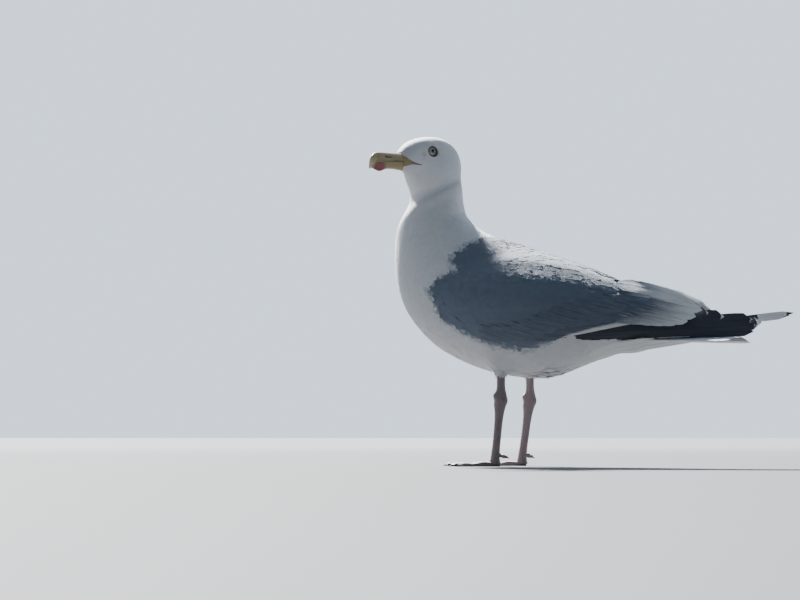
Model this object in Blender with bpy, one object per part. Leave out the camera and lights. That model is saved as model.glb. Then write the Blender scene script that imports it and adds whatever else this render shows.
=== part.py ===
# A life-size European herring gull, standing with its head turned to its left.
#
# The bird faces -X, its right side is +Y and +Z is up. One surface is lofted through rings from
# the rump to the base of the bill, and is parted into trunk, neck and head by thin cuts. The
# folded wings, the wingtips and the thighs are bedded in hollows cut for them in the trunk.
# All sizes are in millimetres and become metres in build_mesh.

import bmesh
import bpy
import numpy as np

MM = 0.001
GAP = 0.35  # free space between pieces that meet
AROUND = 32  # points round the body

# Head: sizes in its own frame, from the middle of the skull, forward and up
HEAD_CENTRE = (-147.5, 0.0, 329.2)
HEAD_YAW = 78.0  # turned to the bird's left
HEAD_PITCH = 3.5  # bill below level
BILL_BASE, BILL_TIP = 50.2, 97.8
BILL_HALF_WIDTH = 6.9
CULMEN_HEIGHT, COMMISSURE_HEIGHT, CHIN_HEIGHT = 3.0, -6.4, -15.2
GONYS_PLACE, GONYS_DROP = 84.5, 1.5
HOOK_DROP = 11.5
EYE_PLACE, EYE_HEIGHT, EYE_SIDE, EYE_RADIUS = 15.0, 3.8, 12.9, 7.8

# Legs: place of the foot and how far the ankle is behind it, left then right
LEGS = ((-57.5, 7.0), (-54.5, 9.5))
LEG_SIDE = 27.5
ANKLE_Z, THIGH_Z, INSTEP_Z = 70.0, 92.5, 6.3
TOE_OUT = 7.0
TOES = ((-29.0, 44.0), (0.0, 51.0), (29.0, 40.0))  # angle and length of each front toe
WEB_THICKNESS = 1.2
HEEL_BACK = 6.5

# Rings of the body. Each spans from its keel point to its back point, both (x, z) on the
# bird's middle plane: (keel, back, half width, widest place from -1 keel to 1 back)
TRUNK_RINGS = (
    ((109.6, 125.5), (109.6, 145.1), 18.9, 0.0),
    ((76.2, 117.6), (91.0, 170.4), 31.5, 0.0),
    ((37.2, 105.8), (53.9, 191.8), 41.4, 0.0),
    ((0.0, 93.6), (19.5, 208.4), 47.7, 0.0),
    ((-31.6, 91.4), (-9.3, 219.3), 50.4, 0.0),
    ((-68.7, 97.1), (-37.2, 227.6), 52.2, -0.02),
    ((-102.2, 108.0), (-58.5, 234.6), 52.6, -0.05),
    ((-135.6, 125.9), (-77.1, 241.6), 51.3, -0.08),
    ((-163.0, 153.0), (-91.0, 249.0), 48.1, -0.1),
    ((-178.4, 181.8), (-99.9, 256.4), 43.6, -0.1),
    ((-184.9, 214.1), (-108.6, 265.1), 38.7, -0.06),
)
# The neck's rings also turn towards the head: (keel, back, half width, widest, yaw)
NECK_RINGS = (
    ((-185.3, 242.0), (-113.3, 276.0), 33.8, 0.0, 12.0),
    ((-181.2, 261.6), (-115.1, 289.1), 28.4, 0.0, 28.0),
    ((-168.1, 276.9), (-114.7, 301.4), 25.2, 0.0, 47.0),
)
# Rings of the head in its own frame: (throat, crown, half width, widest)
HEAD_RINGS = (
    ((21.5, -39.0), (-34.0, -15.0), 26.0, 0.0),
    ((28.0, -32.5), (-35.5, -2.0), 26.5, 0.02),
    ((33.0, -26.5), (-30.0, 11.5), 24.8, 0.05),
    ((37.0, -21.5), (-13.0, 19.6), 22.0, 0.12),
    ((41.0, -18.4), (9.5, 21.0), 18.8, 0.18),
    ((44.5, -16.8), (29.5, 16.8), 14.6, 0.16),
    ((47.8, -15.8), (42.0, 10.4), 10.4, 0.08),
    ((BILL_BASE, -15.4), (BILL_BASE, 3.8), 7.6, 0.0),
)
RINGS_PER_SPAN = 2
SECTION_FULLNESS = 0.92  # under 1 makes the sections a little fuller than an ellipse

# The left folded wing: (x, (y, z) of its lower edge, (y, z) of its upper edge, bulge, thickness)
WING_SECTIONS = (
    (-147.7, (37.8, 178.3), (36.9, 187.0), 1.3, 1.9),
    (-123.6, (43.6, 161.7), (37.4, 201.0), 6.2, 5.7),
    (-79.9, (45.5, 135.5), (27.0, 218.4), 17.2, 9.5),
    (-37.2, (43.6, 123.3), (17.1, 223.2), 22.9, 11.4),
    (7.4, (42.3, 123.3), (9.0, 213.2), 23.8, 11.4),
    (50.2, (37.4, 135.5), (4.0, 197.5), 15.8, 8.5),
    (89.2, (28.8, 146.0), (3.6, 182.6), 8.4, 5.7),
    (126.3, (18.0, 152.1), (3.6, 170.0), 4.0, 3.8),
    (159.8, (8.1, 157.3), (4.5, 161.2), 0.9, 2.3),
)
# The wingtips: (x, (y, z) of the lower edge, (y, z) of the upper edge, bulge, thickness)
NEAR_TIP_SECTIONS = (
    (46.5, (35.6, 130.7), (35.6, 132.1), 0.2, 1.9),
    (66.9, (32.9, 131.0), (31.1, 135.8), 0.5, 2.8),
    (92.9, (27.9, 130.9), (24.3, 143.2), 1.1, 3.2),
    (126.3, (21.6, 130.4), (14.4, 150.3), 1.4, 3.4),
    (159.8, (16.2, 130.8), (9.5, 155.1), 1.4, 3.4),
    (187.7, (11.7, 131.9), (7.2, 154.6), 1.1, 2.8),
    (208.1, (9.0, 134.2), (6.8, 150.7), 0.7, 2.3),
    (216.5, (7.7, 138.2), (7.2, 145.9), 0.3, 1.5),
)
FAR_TIP_SECTIONS = (
    (46.5, (35.6, 130.7), (35.6, 132.1), 0.2, 1.9),
    (66.9, (32.9, 131.1), (31.1, 135.5), 0.5, 2.8),
    (92.9, (27.9, 131.7), (24.3, 142.0), 1.1, 3.2),
    (126.3, (20.2, 133.2), (13.5, 147.6), 1.4, 3.4),
    (159.8, (12.2, 134.8), (5.0, 150.1), 1.4, 3.4),
    (189.5, (5.9, 135.2), (2.2, 148.3), 1.1, 2.8),
    (219.2, (0.5, 138.9), (-0.9, 148.9), 0.7, 2.3),
    (243.4, (-3.1, 144.9), (-3.6, 151.4), 0.4, 1.9),
    (254.5, (-4.5, 148.4), (-4.5, 151.4), 0.2, 1.3),
)
WING_SPANS = 2  # sections between two stated ones

# Tail: (x, low z, high z, half width)
TAIL_SECTIONS = (
    (110.0, 125.0, 142.0, 17.1),
    (124.5, 125.0, 132.1, 20.2),
    (143.9, 126.7, 130.8, 24.3),
    (166.1, 126.3, 129.8, 27.9),
    (193.8, 125.1, 127.2, 30.2),
)

COLOURS = {  # base colour, roughness
    "white": ((0.80, 0.81, 0.82), 0.8),
    "grey": ((0.19, 0.23, 0.29), 0.75),
    "black": ((0.018, 0.018, 0.022), 0.6),
    "bill": ((0.72, 0.44, 0.07), 0.4),
    "eye": ((0.62, 0.60, 0.38), 0.1),
    "leg": ((0.48, 0.32, 0.29), 0.55),
    "claw": ((0.03, 0.027, 0.025), 0.4),
}


def clear_scene():
    for old in list(bpy.data.objects):
        bpy.data.objects.remove(old, do_unlink=True)


def make_materials():
    made = {}
    for name, (colour, roughness) in COLOURS.items():
        material = bpy.data.materials.new(name)
        material.use_nodes = True
        shader = material.node_tree.nodes["Principled BSDF"]
        shader.inputs["Base Color"].default_value = (*colour, 1.0)
        shader.inputs["Roughness"].default_value = roughness
        material.diffuse_color = (*colour, 1.0)
        made[name] = material
    return made


def smooth_rings(rings, spans):
    # Catmull-Rom through rings of points, with the end rings carried on in a straight line
    rings = np.asarray(rings, float)
    held = np.concatenate([[2 * rings[0] - rings[1]], rings, [2 * rings[-1] - rings[-2]]])
    found = []
    for k in range(len(rings) - 1):
        p0, p1, p2, p3 = held[k : k + 4]
        for step in range(spans):
            t = step / spans
            found.append(
                0.5
                * (
                    2 * p1
                    + (p2 - p0) * t
                    + (2 * p0 - 5 * p1 + 4 * p2 - p3) * t**2
                    + (3 * p1 - p0 - 3 * p2 + p3) * t**3
                )
            )
    found.append(rings[-1])
    return np.array(found)


def build_mesh(name, rings, material):
    # One closed solid through rings of points, its two ends filled with flat faces
    count, around = rings.shape[:2]
    mesh = bmesh.new()
    corners = [[mesh.verts.new(point * MM) for point in ring] for ring in rings]
    for k in range(count - 1):
        for j in range(around):
            after = (j + 1) % around
            mesh.faces.new((corners[k][j], corners[k][after], corners[k + 1][after], corners[k + 1][j]))
    mesh.faces.new(corners[0])
    mesh.faces.new(corners[-1])
    return finish_mesh(name, mesh, material)


def finish_mesh(name, mesh, material):
    bmesh.ops.recalc_face_normals(mesh, faces=mesh.faces)
    for face in mesh.faces:
        face.smooth = len(face.verts) < 5
    middle = sum((v.co for v in mesh.verts), mesh.verts[:][0].co * 0) / len(mesh.verts)
    bmesh.ops.translate(mesh, verts=mesh.verts, vec=-middle)
    data = bpy.data.meshes.new(name)
    mesh.to_mesh(data)
    mesh.free()
    data.materials.append(material)
    made = bpy.data.objects.new(name, data)
    made.location = middle
    bpy.context.scene.collection.objects.link(made)
    return made


def grown_cutter(source, by=GAP):
    # A hidden copy of a piece, larger all round by the gap, to cut its bed
    data = source.data.copy()
    for vertex in data.vertices:
        vertex.co += vertex.normal * by * MM
    cutter = bpy.data.objects.new("bed_of_" + source.name, data)
    cutter.location = source.location
    cutter.hide_render = True
    cutter.display_type = "WIRE"
    bpy.context.scene.collection.objects.link(cutter)
    return cutter


def cut_bed(piece, source, by=GAP):
    modifier = piece.modifiers.new("bed_" + source.name, "BOOLEAN")
    modifier.operation = "DIFFERENCE"
    modifier.object = grown_cutter(source, by)


def section(start, end, half_width, widest, place):
    # A ring that spans from start to end, with place() taking it from the profile to the body
    start, end = np.array(start), np.array(end)
    angles = np.arange(AROUND) * 2 * np.pi / AROUND
    along = np.cos(angles) + widest * np.sin(angles) ** 2
    side = half_width * np.sign(np.sin(angles)) * np.abs(np.sin(angles)) ** SECTION_FULLNESS
    profile = (start + end) / 2 + along[:, None] * (end - start) / 2
    return place(profile[:, 0], side, profile[:, 1])


def head_axes():
    yaw, pitch = np.radians(HEAD_YAW), np.radians(HEAD_PITCH)
    level = np.array([-np.cos(yaw), -np.sin(yaw), 0.0])
    up = np.array([0.0, 0.0, 1.0])
    right = np.array([-np.sin(yaw), np.cos(yaw), 0.0])
    forward = level * np.cos(pitch) - up * np.sin(pitch)
    return forward, right, level * np.sin(pitch) + up * np.cos(pitch)


def in_head(forward, right, up):
    # From the head's own frame to the body's
    axes = np.array(head_axes())
    own = np.stack(np.broadcast_arrays(forward, right, up), axis=-1)
    return np.array(HEAD_CENTRE) + own @ axes


def in_body(x, y, z):
    return np.stack(np.broadcast_arrays(x, y, z), axis=-1)


def turned(points, yaw):
    # Turns a ring to the bird's left about its own middle
    middle, angle = points.mean(0), np.radians(yaw)
    turn = np.array([[np.cos(angle), np.sin(angle), 0], [-np.sin(angle), np.cos(angle), 0], [0, 0, 1]])
    return middle + (points - middle) @ turn


def cut_end(rings, end):
    # Draws one end of a run of rings back by the gap, square to its flat end
    rings = rings.copy()
    ring, inner = rings[end], rings[end + 1 if end == 0 else end - 1]
    normal = np.cross(ring[0] - ring.mean(0), ring[AROUND // 4] - ring.mean(0))
    normal /= np.linalg.norm(normal)
    if normal @ (inner.mean(0) - ring.mean(0)) < 0:
        normal = -normal
    rings[end] = ring + normal * GAP
    return rings


def make_body(materials):
    trunk = [section(*ring, in_body) for ring in TRUNK_RINGS]
    neck = [turned(section(*ring[:4], in_body), ring[4]) for ring in NECK_RINGS]
    head = [section(*ring, in_head) for ring in HEAD_RINGS]
    rings = smooth_rings(trunk + neck + head, RINGS_PER_SPAN)
    first_neck = (len(trunk) - 1) * RINGS_PER_SPAN
    first_head = (len(trunk) + len(neck) - 1) * RINGS_PER_SPAN
    white = materials["white"]
    return (
        build_mesh("trunk", rings[: first_neck + 1], white),
        build_mesh("neck", cut_end(rings[first_neck : first_head + 1], 0), white),
        build_mesh("head", cut_end(rings[first_head:], 0), white),
    )


def half_section(angles, half_width, low, high):
    # A closed outline, flat below and arched above, for one half of the bill
    x = half_width * np.cos(angles)
    z = np.where(np.sin(angles) > 0, low + (high - low) * np.sin(angles), low)
    return x, z


def bill_parting(place):
    # Height of the line where the two halves of the bill meet
    t = (place - BILL_BASE) / (BILL_TIP - BILL_BASE)
    return COMMISSURE_HEIGHT - 2.0 * t - 4.2 * max((t - 0.8) / 0.2, 0) ** 2


def bill_half_width(place):
    t = (place - BILL_BASE) / (BILL_TIP - BILL_BASE)
    return BILL_HALF_WIDTH * (1 - 0.42 * t - 0.50 * t**5)


def make_bill(materials, around=14, steps=9):
    angles = np.arange(around) * 2 * np.pi / around
    upper, lower = [], []
    for place in np.linspace(BILL_BASE + GAP, BILL_TIP, steps + 1):
        hook = max((place - BILL_BASE) / (BILL_TIP - BILL_BASE) - 0.55, 0) / 0.45
        top = CULMEN_HEIGHT - HOOK_DROP * hook**2.1
        parting = bill_parting(place)
        x, z = half_section(angles, bill_half_width(place), parting, max(top, parting + 0.8))
        upper.append(in_head(place, x, z))
    end = BILL_TIP - 3.5
    for place in np.linspace(BILL_BASE + GAP, end, steps + 1):
        drop = GONYS_DROP * np.exp(-(((place - GONYS_PLACE) / 7.0) ** 2))
        belly = 0.9 * np.sin(np.pi * min((place - BILL_BASE) / (GONYS_PLACE - BILL_BASE), 1))
        rise = 6.2 * (max(place - GONYS_PLACE, 0) / (end - GONYS_PLACE)) ** 1.5
        parting = bill_parting(place) - GAP - 0.15
        bottom = min(CHIN_HEIGHT + belly - drop + rise, parting - 0.8)
        x, z = half_section(angles, bill_half_width(place) * 0.93, parting, bottom)
        lower.append(in_head(place, x, z))
    return (
        build_mesh("bill_upper", np.array(upper), materials["bill"]),
        build_mesh("bill_lower", np.array(lower), materials["bill"]),
    )


def make_eye(name, side, material):
    mesh = bmesh.new()
    bmesh.ops.create_uvsphere(mesh, u_segments=14, v_segments=8, radius=EYE_RADIUS * MM)
    centre = in_head(EYE_PLACE, side * EYE_SIDE, EYE_HEIGHT) * MM
    bmesh.ops.translate(mesh, verts=mesh.verts, vec=centre)
    return finish_mesh(name, mesh, material)


def blade_section(x, low, high, bulge, thickness, side, around=12):
    # A closed strip in the plane of one x, bent outwards by bulge and rounded at both edges
    low, high = np.array(low), np.array(high)
    chord = high - low
    outward = np.array([chord[1], -chord[0]]) / max(np.linalg.norm(chord), 1e-6)
    angles = (np.arange(around) + 0.5) * 2 * np.pi / around
    run = (1 - np.cos(angles)) / 2
    half = thickness / 2 * np.sign(np.sin(angles)) * np.abs(np.sin(angles)) ** 0.5
    arch = bulge * np.sin(np.pi * run) ** 0.8 + half
    points = low + run[:, None] * chord + arch[:, None] * outward
    return np.stack([np.full(around, x), side * points[:, 0], points[:, 1]], axis=1)


def make_blade(name, sections, side, material):
    rings = smooth_rings([blade_section(*s, side) for s in sections], WING_SPANS)
    return build_mesh(name, rings, material)


def make_tail(material, around=18):
    angles = np.arange(around) * 2 * np.pi / around
    rings = []
    for x, low, high, half_width in TAIL_SECTIONS:
        y = half_width * np.sign(np.cos(angles)) * np.abs(np.cos(angles)) ** 0.7
        z = (low + high) / 2 + (high - low) / 2 * np.sin(angles)
        rings.append(in_body(x, y, z))
    return build_mesh("tail", smooth_rings(rings, 2), material)


def tube(name, stations, material, around=10):
    # An upright run of ellipses: (x, y, z, half length along x, half width along y)
    angles = np.arange(around) * 2 * np.pi / around
    rings = [in_body(x + a * np.cos(angles), y + b * np.sin(angles), z) for x, y, z, a, b in stations]
    return build_mesh(name, smooth_rings(rings, 2), material)


def make_leg(side_name, side, foot_x, lean, materials):
    y = side * LEG_SIDE
    ankle_x = foot_x + lean

    def shin_x(z):
        return foot_x + lean * (z - INSTEP_Z) / (ANKLE_Z - INSTEP_Z)

    tarsus = [(INSTEP_Z, 5.2, 4.5), (14, 4.7, 3.9), (26, 4.4, 3.4), (44, 4.7, 3.5)]
    tarsus += [(56, 5.6, 4.2), (64, 7.0, 4.9), (ANKLE_Z - GAP, 7.5, 5.2)]
    tibia = [(ANKLE_Z, 7.5, 5.2), (74, 6.6, 4.7), (80, 5.6, 4.2), (THIGH_Z - GAP, 5.6, 4.4)]
    thigh = [(THIGH_Z, 6.4, 5.4), (97, 9.0, 8.0), (107, 15.0, 13.0), (122, 20.0, 15.0), (136, 15.0, 10.0)]
    thigh_x = ankle_x + 0.5
    leg = materials["leg"]
    return {
        "tarsus": tube("tarsus_" + side_name, [(shin_x(z), y, z, a, b) for z, a, b in tarsus], leg),
        "tibia": tube("tibia_" + side_name, [(thigh_x, y, z, a, b) for z, a, b in tibia], leg),
        "thigh": tube("thigh_" + side_name, [(thigh_x, y, z, a, b) for z, a, b in thigh], materials["white"]),
    }


def toe_height(along, across, length):
    # A toe's back: higher at the ball of the foot, with two knuckles, and round across
    height = 5.4 - 2.4 * along / length + 0.5 * np.cos(along / length * 5 * np.pi)
    return max(height, 0) * np.exp(-((across / 2.9) ** 2))


def foot_frame(foot_x, side):
    # The heel, the way the middle toe points and the way to the foot's outer side
    angle = np.radians(TOE_OUT)
    forward = np.array([-np.cos(angle), side * np.sin(angle)])
    outward = np.array([np.sin(angle) * 1.0, side * np.cos(angle)])
    return np.array([foot_x, side * LEG_SIDE]) - forward * HEEL_BACK, forward, outward


def make_foot(side_name, side, foot_x, material, rows=9, per_web=8):
    heel, forward, outward = foot_frame(foot_x, side)
    edge = []  # angle and reach round the front of the web, from the inner toe to the outer one
    margin = 3.5
    angles = [-TOES[2][0] - margin, *np.linspace(TOES[0][0], TOES[2][0], 2 * per_web + 1), TOES[2][0] + margin]
    for angle in angles:
        place = np.interp(angle, [TOES[0][0], 0, TOES[2][0]], [0, 1, 2])
        reach = HEEL_BACK + np.interp(place, [0, 1, 2], [TOES[0][1], TOES[1][1], TOES[2][1]])
        notch = 0.17 * np.sin(np.pi * (place % 1)) ** 0.8
        edge.append((angle, reach * (1 - notch)))
    mesh = bmesh.new()
    top = []
    for row in range(1, rows + 1):
        share = row / rows
        line = []
        for angle, reach in edge:
            radius = reach * share
            way = np.radians(angle)
            spot = heel + radius * (np.cos(way) * forward + np.sin(way) * outward)
            height = WEB_THICKNESS
            for toe_angle, length in TOES:
                off = np.radians(angle - toe_angle)
                along, across = radius * np.cos(off), radius * np.sin(off)
                height = max(height, toe_height(min(along, length + HEEL_BACK), across, length + HEEL_BACK))
            if row == rows:
                height = max(height * 0.55, WEB_THICKNESS)
            line.append(mesh.verts.new((spot[0] * MM, spot[1] * MM, height * MM)))
        top.append(line)
    apex = mesh.verts.new((heel[0] * MM, heel[1] * MM, 4.6 * MM))
    count = len(edge)
    for j in range(count - 1):
        mesh.faces.new((apex, top[0][j], top[0][j + 1]))
        for row in range(rows - 1):
            mesh.faces.new((top[row][j], top[row + 1][j], top[row + 1][j + 1], top[row][j + 1]))
    rim = [apex] + [line[0] for line in top] + top[-1][1:-1] + [line[-1] for line in reversed(top)]
    floor = [mesh.verts.new((v.co.x, v.co.y, 0.0)) for v in rim]
    for j in range(len(rim)):
        after = (j + 1) % len(rim)
        mesh.faces.new((rim[j], floor[j], floor[after], rim[after]))
    mesh.faces.new(floor)
    return finish_mesh("foot_" + side_name, mesh, material)


def make_claw(name, root, way, length, radius, material, around=6):
    # A small horn that starts upright to its way and curves down to a point
    way = np.append(way, 0.0) / np.linalg.norm(way)
    across = np.array([-way[1], way[0], 0.0])
    angles = np.arange(around) * 2 * np.pi / around
    rings = []
    for t in np.linspace(0, 1, 4):
        size = radius * (1 - 0.86 * t)
        centre = root + way * length * t - np.array([0, 0, 1.0]) * 1.2 * t**2
        ring = centre + np.outer(np.cos(angles) * size * 0.8, across) + np.outer(np.sin(angles) * size, [0, 0, 1])
        ring[:, 2] = np.maximum(ring[:, 2], 0.1)
        rings.append(ring)
    return build_mesh(name, np.array(rings), material)


def make_toes_and_claws(side_name, side, foot_x, materials):
    heel, forward, outward = foot_frame(foot_x, side)
    for number, (angle, length) in enumerate(TOES, 1):
        way = np.cos(np.radians(angle)) * forward + np.sin(np.radians(angle)) * outward
        spot = heel + way * (HEEL_BACK + length + GAP + 0.2)
        make_claw(f"claw_{side_name}_{number}", np.append(spot, 1.9), way, 6.5, 1.7, materials["claw"])
    back_x = foot_x + 6.8
    angles = np.arange(8) * 2 * np.pi / 8
    rings = []
    for t, size in ((0.0, 2.2), (0.35, 2.4), (0.7, 1.9), (1.0, 0.9)):
        centre = np.array([back_x + 7.5 * t, side * (LEG_SIDE - 1.5), 11.5 - 2.0 * t])
        ring = centre + np.outer(np.cos(angles) * size, [0, 1, 0]) + np.outer(np.sin(angles) * size, [0.26, 0, 0.97])
        rings.append(ring)
    build_mesh("hind_toe_" + side_name, smooth_rings(rings, 2), materials["leg"])


def centre_on_floor(name):
    # Hangs every piece on one empty that puts the middle of the whole bird's foot print at 0, 0
    bpy.context.view_layer.update()
    shown = [o for o in bpy.data.objects if o.type == "MESH" and not o.hide_render]
    corners = np.array([o.matrix_world @ v.co for o in shown for v in o.data.vertices])
    low, high = corners.min(0), corners.max(0)
    root = bpy.data.objects.new(name, None)
    bpy.context.scene.collection.objects.link(root)
    for o in [o for o in bpy.data.objects if o.type == "MESH"]:
        o.parent = root
    root.location = (-(low[0] + high[0]) / 2, -(low[1] + high[1]) / 2, -low[2])


def main():
    clear_scene()
    materials = make_materials()
    trunk, neck, head = make_body(materials)
    make_bill(materials)
    for side_name, side in (("left", -1), ("right", 1)):
        cut_bed(head, make_eye("eye_" + side_name, side, materials["eye"]))
    wings = [
        make_blade("wing_left", WING_SECTIONS, -1, materials["grey"]),
        make_blade("wing_right", WING_SECTIONS, 1, materials["grey"]),
    ]
    tips = [
        make_blade("wingtip_left", NEAR_TIP_SECTIONS, -1, materials["black"]),
        make_blade("wingtip_right", FAR_TIP_SECTIONS, 1, materials["black"]),
    ]
    make_tail(materials["white"])
    thighs = []
    for side_name, side, foot_x, lean in (("left", -1, *LEGS[0]), ("right", 1, *LEGS[1])):
        thighs.append(make_leg(side_name, side, foot_x, lean, materials)["thigh"])
        make_foot(side_name, side, foot_x, materials["leg"])
        make_toes_and_claws(side_name, side, foot_x, materials)
    for bedded in wings + tips + thighs:
        cut_bed(trunk, bedded)
    centre_on_floor("gull")


main()
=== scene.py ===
import bpy
import numpy as np
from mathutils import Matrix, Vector
from mathutils.bvhtree import BVHTree
from mathutils.kdtree import KDTree


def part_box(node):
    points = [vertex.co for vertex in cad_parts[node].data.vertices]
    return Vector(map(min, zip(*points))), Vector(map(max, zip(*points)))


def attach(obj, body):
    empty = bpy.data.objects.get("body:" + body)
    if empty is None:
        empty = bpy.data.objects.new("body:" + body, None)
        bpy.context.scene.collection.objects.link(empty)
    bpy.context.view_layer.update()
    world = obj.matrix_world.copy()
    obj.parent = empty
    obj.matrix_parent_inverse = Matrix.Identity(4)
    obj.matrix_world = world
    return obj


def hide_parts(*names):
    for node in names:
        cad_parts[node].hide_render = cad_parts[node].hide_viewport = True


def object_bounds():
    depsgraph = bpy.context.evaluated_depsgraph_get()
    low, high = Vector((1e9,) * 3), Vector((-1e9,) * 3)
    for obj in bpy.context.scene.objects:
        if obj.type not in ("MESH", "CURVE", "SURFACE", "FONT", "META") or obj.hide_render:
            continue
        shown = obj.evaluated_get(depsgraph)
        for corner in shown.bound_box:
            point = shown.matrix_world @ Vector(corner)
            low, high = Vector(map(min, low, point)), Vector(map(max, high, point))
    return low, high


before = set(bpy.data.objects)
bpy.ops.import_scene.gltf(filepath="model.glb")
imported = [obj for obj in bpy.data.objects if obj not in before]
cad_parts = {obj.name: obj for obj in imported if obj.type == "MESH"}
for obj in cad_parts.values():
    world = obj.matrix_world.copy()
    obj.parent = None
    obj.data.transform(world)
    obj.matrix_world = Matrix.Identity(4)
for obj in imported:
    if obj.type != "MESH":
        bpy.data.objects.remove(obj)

# A herring gull standing with its head turned to its left. The bird faces -X and its right side
# is +Y. Sizes below are in millimetres on the bird's own axes; toFrame takes them to the frame.

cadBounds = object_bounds()
thinned = 1.0
mm = 0.001
rng = np.random.default_rng(41)
bothSides = (("left", -1), ("right", 1))

bodyShape = {
    "rumpX": 109.6,  # where the trunk ends, towards the tail
    "fullness": 0.92,
    "ringsPerSpan": 12,
    "around": 168,
    # keel point and back point (x, z), half width, widest place from -1 keel to 1 back
    "trunk": (
        ((109.6, 125.5), (109.6, 145.1), 18.9, 0.0),
        ((76.2, 117.6), (91.0, 170.4), 31.5, 0.0),
        ((37.2, 105.8), (53.9, 191.8), 41.4, 0.0),
        ((0.0, 93.6), (19.5, 208.4), 47.7, 0.0),
        ((-31.6, 91.4), (-9.3, 219.3), 50.4, 0.0),
        ((-68.7, 97.1), (-37.2, 227.6), 52.2, -0.02),
        ((-102.2, 108.0), (-58.5, 234.6), 52.6, -0.05),
        ((-135.6, 125.9), (-77.1, 241.6), 51.3, -0.08),
        ((-163.0, 153.0), (-91.0, 249.0), 48.1, -0.1),
        ((-178.4, 181.8), (-99.9, 256.4), 43.6, -0.1),
        ((-184.9, 214.1), (-108.6, 265.1), 38.7, -0.06),
    ),
    # the same, with the turn of each ring towards the head
    "neck": (
        ((-185.3, 242.0), (-113.3, 276.0), 33.8, 0.0, 12.0),
        ((-181.2, 261.6), (-115.1, 289.1), 28.4, 0.0, 28.0),
        ((-168.1, 276.9), (-114.7, 301.4), 25.2, 0.0, 47.0),
    ),
    # throat point and crown point (forward, up) from the middle of the skull
    "head": (
        ((21.5, -39.0), (-34.0, -15.0), 26.0, 0.0),
        ((28.0, -32.5), (-35.5, -2.0), 26.5, 0.02),
        ((33.0, -26.5), (-30.0, 11.5), 24.8, 0.05),
        ((37.0, -21.5), (-13.0, 19.6), 22.0, 0.12),
        ((41.0, -18.4), (9.5, 21.0), 18.8, 0.18),
        ((44.5, -16.8), (29.5, 16.8), 14.6, 0.16),
        ((47.8, -15.8), (42.0, 10.4), 10.4, 0.08),
        ((50.2, -15.4), (50.2, 3.8), 7.6, 0.0),
    ),
    # fuller places: ring number, angle from the back in degrees, reach along and round, height
    "fuller": {
        "throat": (13.0, 180.0, 1.6, 50.0, 2.6),
        "nape": (12.3, 0.0, 1.2, 45.0, 1.6),
    },
    "drawnFrom": 45.0,  # how far out the search for wings and thighs starts
    "join": ((10.5, 12.0), (15.5, 17.5)),  # rings where the neck is smoothed in, and out again
    "joinBlur": (7.0, 2.0),
    "eyesFrom": 14,  # the eyes only matter to what starts beyond this ring
    "headCentre": (-147.5, 0.0, 329.2),
    "headYaw": 78.0,
    "headPitch": 3.5,
}

bodyOrigin = np.array([
    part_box("trunk")[1].x / mm - bodyShape["rumpX"],
    (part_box("tarsus_left")[0].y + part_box("tarsus_right")[1].y) / 2 / mm,
    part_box("foot_left")[0].z / mm,
])


def toFrame(points):
    return (np.asarray(points, float) + bodyOrigin) * mm


def unit(vectors):
    return vectors / np.maximum(np.linalg.norm(vectors, axis=-1, keepdims=True), 1e-9)


def smoothStep(low, high, value):
    t = np.clip((value - low) / (high - low), 0, 1)
    return t * t * (3 - 2 * t)


def roundAngles(count):
    return np.arange(count) * 2 * np.pi / count


def headAxes():
    yaw, pitch = np.radians(bodyShape["headYaw"]), np.radians(bodyShape["headPitch"])
    level = np.array([-np.cos(yaw), -np.sin(yaw), 0.0])
    up = np.array([0.0, 0.0, 1.0])
    right = np.array([-np.sin(yaw), np.cos(yaw), 0.0])
    return np.array([
        level * np.cos(pitch) - up * np.sin(pitch),
        right,
        level * np.sin(pitch) + up * np.cos(pitch),
    ])


def fromHead(forward, right, up):
    own = np.stack(np.broadcast_arrays(forward, right, up), axis=-1)
    return np.array(bodyShape["headCentre"]) + own @ headAxes()


def toHead(points):
    return (points - np.array(bodyShape["headCentre"])) @ headAxes().T


def smoothRings(rings, spans):
    # Catmull-Rom through a run of rings, or of any rows of numbers
    rings = np.asarray(rings, float)
    held = np.concatenate([[2 * rings[0] - rings[1]], rings, [2 * rings[-1] - rings[-2]]])
    found = []
    for p0, p1, p2, p3 in zip(held, held[1:], held[2:], held[3:]):
        for t in np.arange(spans) / spans:
            found.append(0.5 * (2 * p1 + (p2 - p0) * t + (2 * p0 - 5 * p1 + 4 * p2 - p3) * t**2
                                + (3 * p1 - p0 - 3 * p2 + p3) * t**3))
    found.append(rings[-1])
    return np.array(found)


# Meshes and materials

def faceCorners(quads, tris):
    return np.concatenate([np.ravel(quads), np.ravel(tris)]).astype(np.int32)


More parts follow.
